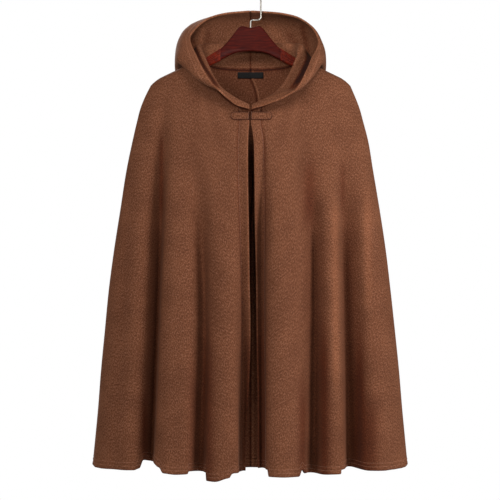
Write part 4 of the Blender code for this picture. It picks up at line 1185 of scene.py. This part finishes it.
def end_tree(tree, given, made, geometry):
    """Ends a tree: what it has made becomes real geometry and gets the material."""
    real = add_node(tree, "GeometryNodeRealizeInstances", {"Geometry": geometry}).outputs["Geometry"]
    done = add_node(tree, "GeometryNodeSetMaterial", {"Geometry": real, "Material": given["Material"]})
    tree.links.new(done.outputs["Geometry"], made["Geometry"])
    return tree


def stitch_tree():
    """Stitches along paths: short straight threads, each turned along its path."""
    tree, given, made = node_group("stitches", [
        ("Pitch", "NodeSocketFloat", STITCH_PITCH),
        ("Length", "NodeSocketFloat", STITCH_LENGTH),
        ("Thread", "NodeSocketFloat", THREAD),
        ("Seed", "NodeSocketInt", SEED),
        ("Material", "NodeSocketMaterial", None),
    ])
    curve = add_node(tree, "GeometryNodeMeshToCurve", {"Mesh": given["Geometry"]}).outputs["Curve"]
    spaced = add_node(
        tree, "GeometryNodeResampleCurve", {"Curve": curve, "Length": given["Pitch"]}, mode="LENGTH"
    ).outputs["Curve"]
    tangent = add_node(tree, "GeometryNodeInputTangent").outputs["Tangent"]
    turned = add_node(
        tree, "FunctionNodeAlignRotationToVector", {"Vector": tangent}, axis="Z"
    ).outputs["Rotation"]
    radius = add_node(tree, "ShaderNodeMath", {0: given["Thread"], 1: 0.5}, operation="MULTIPLY").outputs[0]
    thread = add_node(tree, "GeometryNodeMeshCylinder", {
        "Vertices": 6, "Radius": radius, "Depth": given["Length"],
    }, fill_type="NGON").outputs["Mesh"]
    uneven = add_node(tree, "FunctionNodeRandomValue", {
        "Min": UNEVEN[0], "Max": UNEVEN[1], "Seed": given["Seed"],
    }, data_type="FLOAT_VECTOR").outputs["Value"]
    placed = add_node(tree, "GeometryNodeInstanceOnPoints", {
        "Points": spaced, "Instance": thread, "Rotation": turned, "Scale": uneven,
    }).outputs["Instances"]
    return end_tree(tree, given, made, placed)


def sweep_tree():
    """Round bars along paths, such as ribs and wires."""
    tree, given, made = node_group("sweep", [
        ("Radius", "NodeSocketFloat", MM),
        ("Sides", "NodeSocketInt", RIB_SIDES),
        ("Material", "NodeSocketMaterial", None),
    ])
    curve = add_node(tree, "GeometryNodeMeshToCurve", {"Mesh": given["Geometry"]}).outputs["Curve"]
    ring = add_node(
        tree, "GeometryNodeCurvePrimitiveCircle", {"Resolution": given["Sides"], "Radius": given["Radius"]}
    ).outputs["Curve"]
    bar = add_node(
        tree, "GeometryNodeCurveToMesh", {"Curve": curve, "Profile Curve": ring, "Fill Caps": True}
    ).outputs["Mesh"]
    return end_tree(tree, given, made, bar)


def along_paths(name, paths, tree, finish, **values):
    """Runs a tree over paths of points and returns the result as a plain mesh object."""
    guide = bpy.data.meshes.new(name + "_paths")
    counts = np.cumsum([0] + [len(path) for path in paths])
    edges = [(i, i + 1) for start, end in zip(counts, counts[1:]) for i in range(start, end - 1)]
    guide.from_pydata(np.concatenate(paths).tolist(), edges, [])
    item = new_object(name, guide, finish)
    modifier = item.modifiers.new(name, "NODES")
    modifier.node_group = tree
    for socket in tree.interface.items_tree:
        if socket.in_out == "INPUT" and socket.name in values:
            modifier[socket.identifier] = values[socket.name]
        elif socket.in_out == "INPUT" and socket.name == "Material":
            modifier[socket.identifier] = finish
    made = plain_mesh(item)
    bpy.data.meshes.remove(guide)
    return new_object(name, made, finish)


def on_front(side, across, drop):
    """A point of a front at a distance from the middle and a drop, and its outward direction."""
    edge = edge_at(FRONT, side, drop)
    part = (across - edge) / (half_width(side, drop) - edge)
    return cloth_point(FRONT, side, part, drop), cloth_normal(FRONT, side, part, drop)


def make_tab(side, word, finish):
    """Half of the closure: a strip with a round end that lies on the front panel."""
    length, radius = TAB_TO[side] - TAB_FROM[side], TAB_HEIGHT / 2.0
    straight = length - radius
    along = np.concatenate([
        np.array(TAB_NEAR) * MM,
        np.linspace(TAB_FROM_NEAR * MM, straight, TAB_STEPS),
        straight + radius * np.sin(np.linspace(0.0, math.pi / 2.0, TAB_END_STEPS)[1:-1]),
        [length - TAB_TIP],
    ])
    half = radius * np.sqrt(1.0 - (np.clip(along - straight, 0.0, None) / radius) ** 2)
    levels = np.sin(np.linspace(-math.pi / 2.0, math.pi / 2.0, TAB_ROWS))[:, None]
    across, drop = np.broadcast_arrays(TAB_FROM[side] + along, TAB_DROP + levels * half)
    points, normals = on_front(side, across, drop)
    inset = np.minimum(half * (1.0 - np.abs(levels)), along)
    inset = np.minimum(inset, np.maximum(length - along, 0.0))
    crown = TAB_WALL * rounded(inset, TAB_RADIUS) - STITCH_DIP * lined(inset, TAB_LINE, TAB_GROOVE)
    far = points + normals * (ON_CLOTH + crown)[..., None]
    # Painted shade round the tab's edge and at its foot.
    press = marked(inset, *TAB_EDGE) + marked(along, *TAB_FOOT)
    tab = shell("closure_tab_" + word, far, points + normals * ON_CLOTH * 0.5, grain(points), finish, press)
    turn, reach = np.linspace(-math.pi / 2.0, math.pi / 2.0, TAB_LINE_POINTS), radius - TAB_LINE
    x = np.concatenate([[TAB_LINE], straight + reach * np.cos(turn), [TAB_LINE, TAB_LINE]])
    z = np.concatenate([[-1.0], np.sin(turn), [1.0, -1.0]]) * reach
    path, outward = on_front(side, TAB_FROM[side] + x, TAB_DROP + z)
    return tab, [path + outward * (ON_CLOTH + TAB_WALL)]


def make_label(finish):
    """A bare woven bar inside the back of the neck."""
    across = np.linspace(-0.5, 0.5, LABEL_COLUMNS) * LABEL_WIDTH
    drop = LABEL_DROP + np.linspace(-0.5, 0.5, LABEL_ROWS)[:, None] * LABEL_HEIGHT
    across, drop = np.broadcast_arrays(across, drop)
    part = np.abs(across) / half_width(LEFT, drop)
    points, normals = cloth_point(BACK, LEFT, part, drop), cloth_normal(BACK, LEFT, part, drop)
    for values in (points, normals):
        values[..., 0] *= np.sign(across + 1e-9)
    near = points - normals * (WALL + SEAM_LAYER + ON_CLOTH)
    inset = np.minimum(LABEL_WIDTH / 2.0 - np.abs(across), LABEL_HEIGHT / 2.0 - np.abs(drop - LABEL_DROP))
    far = near - normals * (LABEL_WALL * rounded(inset, LABEL_RADIUS))[..., None]
    return shell("neck_label_bar", near, far, grain(points), finish)


def arm_edges(across):
    """The drop of the hanger's upper and under edge at a distance from the middle."""
    edges = []
    for yoke, under_ridge in ((YOKE_TOP, ARM_UNDER_RIDGE), (YOKE_UNDER, ARM_UNDER_RIDGE + ARM_HEIGHT)):
        arm = [(x, ridge_line(x) + under_ridge) for x in (ARM_START, SLEEVE_TO, ARM_TIP)]
        edges.append(smooth_at(across, np.vstack([yoke, arm]))[..., 0])
    return edges


def make_wood(finish):
    """The hanger's wooden body: one half of its outline, mirrored, with rounded edges."""
    tip = ARM_TIP - ARM_HEIGHT / 2.0
    across = np.linspace(0.0, tip, WOOD_STEPS)
    upper, under = arm_edges(across)
    lean = math.atan(RIDGE_SLOPE)
    radius = ARM_HEIGHT / 2.0 * math.cos(lean)
    middle = -(upper[-1] + under[-1]) / 2.0
    half = [(x, -d) for x, d in zip(across, upper)]
    for turn in np.linspace(math.pi / 2.0, -math.pi / 2.0, TIP_STEPS)[1:] - lean:
        half.append((tip + radius * math.cos(turn), middle + radius * math.sin(turn)))
    half += [(x, -d) for x, d in zip(across[-2::-1], under[-2::-1])]
    outline = half + [(-x, z) for x, z in half[-2:0:-1]]
    curve = bpy.data.curves.new("hanger_outline", "CURVE")
    spline = curve.splines.new("POLY")
    spline.points.add(len(outline) - 1)
    for target, (x, z) in zip(spline.points, outline):
        target.co = (x, z, 0.0, 1.0)
    spline.use_cyclic_u = True
    curve.dimensions, curve.fill_mode = "2D", "BOTH"
    curve.extrude, curve.bevel_depth = HANGER_DEPTH / 2.0 - HANGER_EDGE, HANGER_EDGE
    curve.bevel_resolution, curve.offset = BEVEL_STEPS, -HANGER_EDGE
    mesh = plain_mesh(in_scene("hanger_outline", curve))
    put_out(mesh, WELD)
    mesh.transform(Matrix.Rotation(math.pi / 2.0, 4, "X"))
    mesh.shade_smooth()
    mesh.set_sharp_from_angle(angle=SHARP_ANGLE)
    return new_object("hanger_body", mesh, finish)


def bend(middle, radius, start, end, steps):
    """Points on an arc in the plane of the hanger."""
    return [
        (middle[0] + radius * math.cos(turn), 0.0, middle[1] + radius * math.sin(turn))
        for turn in np.linspace(start, end, steps)
    ]


def make_hook(tree, finish):
    """The wire: up out of the wood, a step to one side, then up and over the rail's place."""
    middle = HOOK_RADIUS + WIRE / 2.0
    run = [(0.0, 0.0, -HOOK_FOOT)]
    foot, top = (STEP_RADIUS, -HOOK_STEP - STEP_RADIUS), (middle - STEP_RADIUS, -HOOK_STEP + STEP_RADIUS)
    run += bend(foot, STEP_RADIUS, math.pi, math.pi / 2.0, STEP_POINTS)
    run += bend(top, STEP_RADIUS, -math.pi / 2.0, 0.0, STEP_POINTS)
    run += bend((0.0, -HOOK_RADIUS), middle, 0.0, math.pi, HOOK_POINTS)
    run.append((-middle, 0.0, -HOOK_TIP_DROP))
    return along_paths("hanger_wire", [np.array(run)], tree, finish, Radius=WIRE / 2.0, Sides=WIRE_SIDES)


def sleeve_ring(tall, deep):
    """A rounded ring of (depth, height) points of this half-height and half-depth."""
    ring = []
    for y, z, start in ((1, 1, 0.0), (-1, 1, 0.5), (-1, -1, 1.0), (1, -1, 1.5)):
        for turn in np.linspace(start, start + 0.5, CORNER_POINTS) * math.pi:
            ring.append((
                y * (deep - SLEEVE_ROUND) + SLEEVE_ROUND * math.cos(turn),
                z * (tall - SLEEVE_ROUND) + SLEEVE_ROUND * math.sin(turn),
            ))
    return np.array(ring)


def make_sleeve(side, word, tree, finish):
    """A thin rubber sleeve round the arm with a rolled lip at each end, and its ribs."""
    loops = []
    stations = np.linspace(SLEEVE_FROM, SLEEVE_TO, SLEEVE_RINGS)
    for gap, places in ((ON_CLOTH + SLEEVE_WALL, stations), (ON_CLOTH, stations[::-1])):
        for across in places:
            upper, under = arm_edges(across)
            lip = LIP_RISE * lined(min(across - SLEEVE_FROM, SLEEVE_TO - across), 0.0, LIP_LENGTH)
            out = gap + (lip if gap > ON_CLOTH else 0.0)
            tall = (under - upper) / 2.0 + out * math.hypot(1.0, RIDGE_SLOPE)
            ring = sleeve_ring(tall, HANGER_DEPTH / 2.0 + out)
            loops.append([(SIGN[side] * across, y, z - (upper + under) / 2.0) for y, z in ring])
    points = np.array(loops)
    rows, columns = points.shape[:2]
    faces = grid_faces(rows, columns, wrap=True)
    last, first = (rows - 1) * columns + np.arange(columns), np.arange(columns)
    closing = np.stack([last, np.roll(last, -1), np.roll(first, -1), first], axis=-1)
    mesh = bpy.data.meshes.new("sleeve")
    mesh.from_pydata(points.reshape(-1, 3).tolist(), [], np.concatenate([faces, closing]).tolist())
    put_out(mesh)
    mesh.shade_smooth()
    sleeve = new_object("arm_sleeve_" + word, mesh, finish)
    paths = []
    reach = np.linspace(SLEEVE_FROM + RIB_INSET, SLEEVE_TO - RIB_INSET, RIB_POINTS)
    upper, under = arm_edges(reach)
    for level in np.linspace(-1.0, 1.0, RIBS):
        for facing in FACING:
            height = -(upper + under) / 2.0 + level * ((under - upper) / 2.0 - RIB_MARGIN)
            depth = np.full(len(reach), facing * (HANGER_DEPTH / 2.0 + ON_CLOTH + SLEEVE_WALL - RIB_SUNK))
            paths.append(np.stack([SIGN[side] * reach, depth, height], axis=-1))
    ribs = along_paths("arm_ribs_" + word, paths, tree, finish, Radius=RIB_RADIUS, Sides=RIB_SIDES)
    return sleeve, ribs


def size(name, description, metres):
    """A setting that is a length."""
    return FloatProperty(name=name, description=description, default=metres, unit="LENGTH")


def power(name, description, watts):
    """A setting that is a lamp's power."""
    return FloatProperty(name=name, description=description, default=watts, unit="POWER")


class ClothLook(PropertyGroup):
    """Sizes of the sewing that a user may change."""

    pitch: size("Stitch pitch", "From one stitch to the next", STITCH_PITCH)
    length: size("Stitch length", "Of one stitch", STITCH_LENGTH)
    thread: size("Thread", "Thickness of the thread", THREAD)
    seed: IntProperty(name="Seed", description="Of the unevenness of the stitches", default=SEED)


class StudioLook(PropertyGroup):
    """Light of the studio."""

    key: power("Key light", "Power of the light from the front left", 94.0)
    top: power("Top light", "Power of the light above the hood", 10.0)
    hood: power("Hood light", "Power of the light into the hood", 150.0)
    side: power("Side light", "Power of the light from the right", 36.0)
    back: power("Back light", "Power of the light from behind", 160.0)
    around: FloatProperty(
        name="Surroundings", description="Strength of the light from all round", default=0.03
    )
    backdrop: FloatVectorProperty(
        name="Backdrop", description="Colour behind the cape", default=linear("#FFFFFF"),
        size=4, subtype="COLOR", min=0.0, max=1.0,
    )


class CAPE_OT_cloth(Operator):
    """Makes the panels, the hood, the closure tabs and their stitches"""

    bl_idname = "cape.cloth"
    bl_label = "Cloth"

    def execute(self, context):
        wool, thread, tree, look = brushed_wool(), sewing_thread(), stitch_tree(), context.scene.cape_cloth
        for side, word in SIDES:
            for node, made, held, rests_on in (
                ("front_" + word, make_panel(FRONT, side, word, wool), "hung", ["hanger_wood"]),
                ("back_" + word, make_panel(BACK, side, word, wool), "hung", ["hanger_wood"]),
                ("hood_" + word, make_hood(side, word, wool), "draped", ["front_" + word, "back_" + word]),
                ("tab_" + word, make_tab(side, word, wool), "laid", ["front_" + word]),
            ):
                piece, lines = made
                dressed(piece, "cloth", node)
                stitches = along_paths(
                    piece.name + "_stitches", lines, tree, thread, Pitch=look.pitch, Length=look.length,
                    Thread=look.thread, Seed=look.seed,
                )
                dressed(stitches, "cloth")
        return {"FINISHED"}


class CAPE_OT_label(Operator):
    """Makes the bare label in the neck"""

    bl_idname = "cape.label"
    bl_label = "Neck label"

    def execute(self, context):
        label = dressed(make_label(woven_tape()), "label", "neck_label")
        return {"FINISHED"}


class CAPE_OT_hanger(Operator):
    """Makes the hanger: the wooden body, its rubber sleeves and its hook"""

    bl_idname = "cape.hanger"
    bl_label = "Hanger"

    def execute(self, context):
        sweep, rubber = sweep_tree(), moulded_rubber()
        dressed(make_wood(stained_mahogany()), "mahogany", "hanger_wood")
        dressed(make_hook(sweep, nickel_plate()), "nickel_wire", "hanger_hook")
        for side, word in SIDES:
            sleeve, ribs = make_sleeve(side, word, sweep, rubber)
            dressed(sleeve, "sleeve_rubber", "hanger_sleeve_" + word)
            dressed(ribs, "sleeve_rubber")
        return {"FINISHED"}


class CAPE_OT_studio(Operator):
    """Makes the floor, the lights, the surroundings and the camera"""

    bl_idname = "cape.studio"
    bl_label = "Studio"

    def execute(self, context):
        scene, look = context.scene, context.scene.cape_studio
        floor = bpy.data.meshes.new("floor")
        corners = ((-1, -1), (1, -1), (1, 1), (-1, 1))
        points = [(x * FLOOR_REACH, y * FLOOR_REACH, FLOOR_LEVEL) for x, y in corners]
        floor.from_pydata(points, [], [(0, 1, 2, 3)])
        new_object("studio_floor", floor, pale_floor())
        for name, (kind, place, aim, settings) in LAMPS.items():
            lamp = bpy.data.lights.new(name, kind)
            lamp.energy = getattr(look, name)
            for key, value in settings.items():
                setattr(lamp, key, value)
            item = in_scene(name, lamp)
            item.location = place
            item.rotation_euler = Vector(np.subtract(aim, place)).to_track_quat("-Z", "Y").to_euler()
        world = bpy.data.worlds.new("studio")
        world.use_nodes = True
        tree = world.node_tree
        seen = add_node(tree, "ShaderNodeBackground", {"Color": look.backdrop[:], "Strength": 1.0})
        lit = add_node(tree, "ShaderNodeBackground", {"Color": look.backdrop[:], "Strength": look.around})
        camera_ray = add_node(tree, "ShaderNodeLightPath").outputs["Is Camera Ray"]
        mixed = add_node(tree, "ShaderNodeMixShader", {
            0: camera_ray, 1: lit.outputs["Background"], 2: seen.outputs["Background"],
        })
        tree.links.new(mixed.outputs[0], tree.nodes["World Output"].inputs["Surface"])
        scene.world = world
        scene.view_settings.view_transform = "Standard"
        camera = in_scene("camera", bpy.data.cameras.new("camera"))
        camera.data.sensor_width = SENSOR / MM
        camera.data.lens = SENSOR / MM * VIEW_DISTANCE / (PIXEL * PIXELS)
        camera.location = (VIEW_MIDDLE[0], -VIEW_DISTANCE, VIEW_MIDDLE[1])
        camera.rotation_euler = (math.pi / 2.0, 0.0, 0.0)
        scene.camera = camera
        return {"FINISHED"}


OPERATORS = (CAPE_OT_cloth, CAPE_OT_label, CAPE_OT_hanger, CAPE_OT_studio)


class CAPE_PT_panel(Panel):
    """The cape's operators and settings"""

    bl_label = "Hooded cape"
    bl_space_type = "VIEW_3D"
    bl_region_type = "UI"
    bl_category = "Cape"

    def draw(self, context):
        for kind in OPERATORS:
            self.layout.operator(kind.bl_idname)
        for settings in (context.scene.cape_cloth, context.scene.cape_studio):
            for name in settings.bl_rna.properties.keys():
                if name not in ("rna_type", "name"):
                    self.layout.prop(settings, name)


CLASSES = (ClothLook, StudioLook, *OPERATORS, CAPE_PT_panel)


def register():
    for kind in CLASSES:
        bpy.utils.register_class(kind)
    bpy.types.Scene.cape_cloth = PointerProperty(type=ClothLook)
    bpy.types.Scene.cape_studio = PointerProperty(type=StudioLook)


def unregister():
    del bpy.types.Scene.cape_cloth, bpy.types.Scene.cape_studio
    for kind in reversed(CLASSES):
        bpy.utils.unregister_class(kind)


def main():
    register()
    bpy.ops.cape.studio()
    bpy.ops.cape.cloth()
    bpy.ops.cape.label()
    bpy.ops.cape.hanger()


if __name__ == "__main__":
    main()
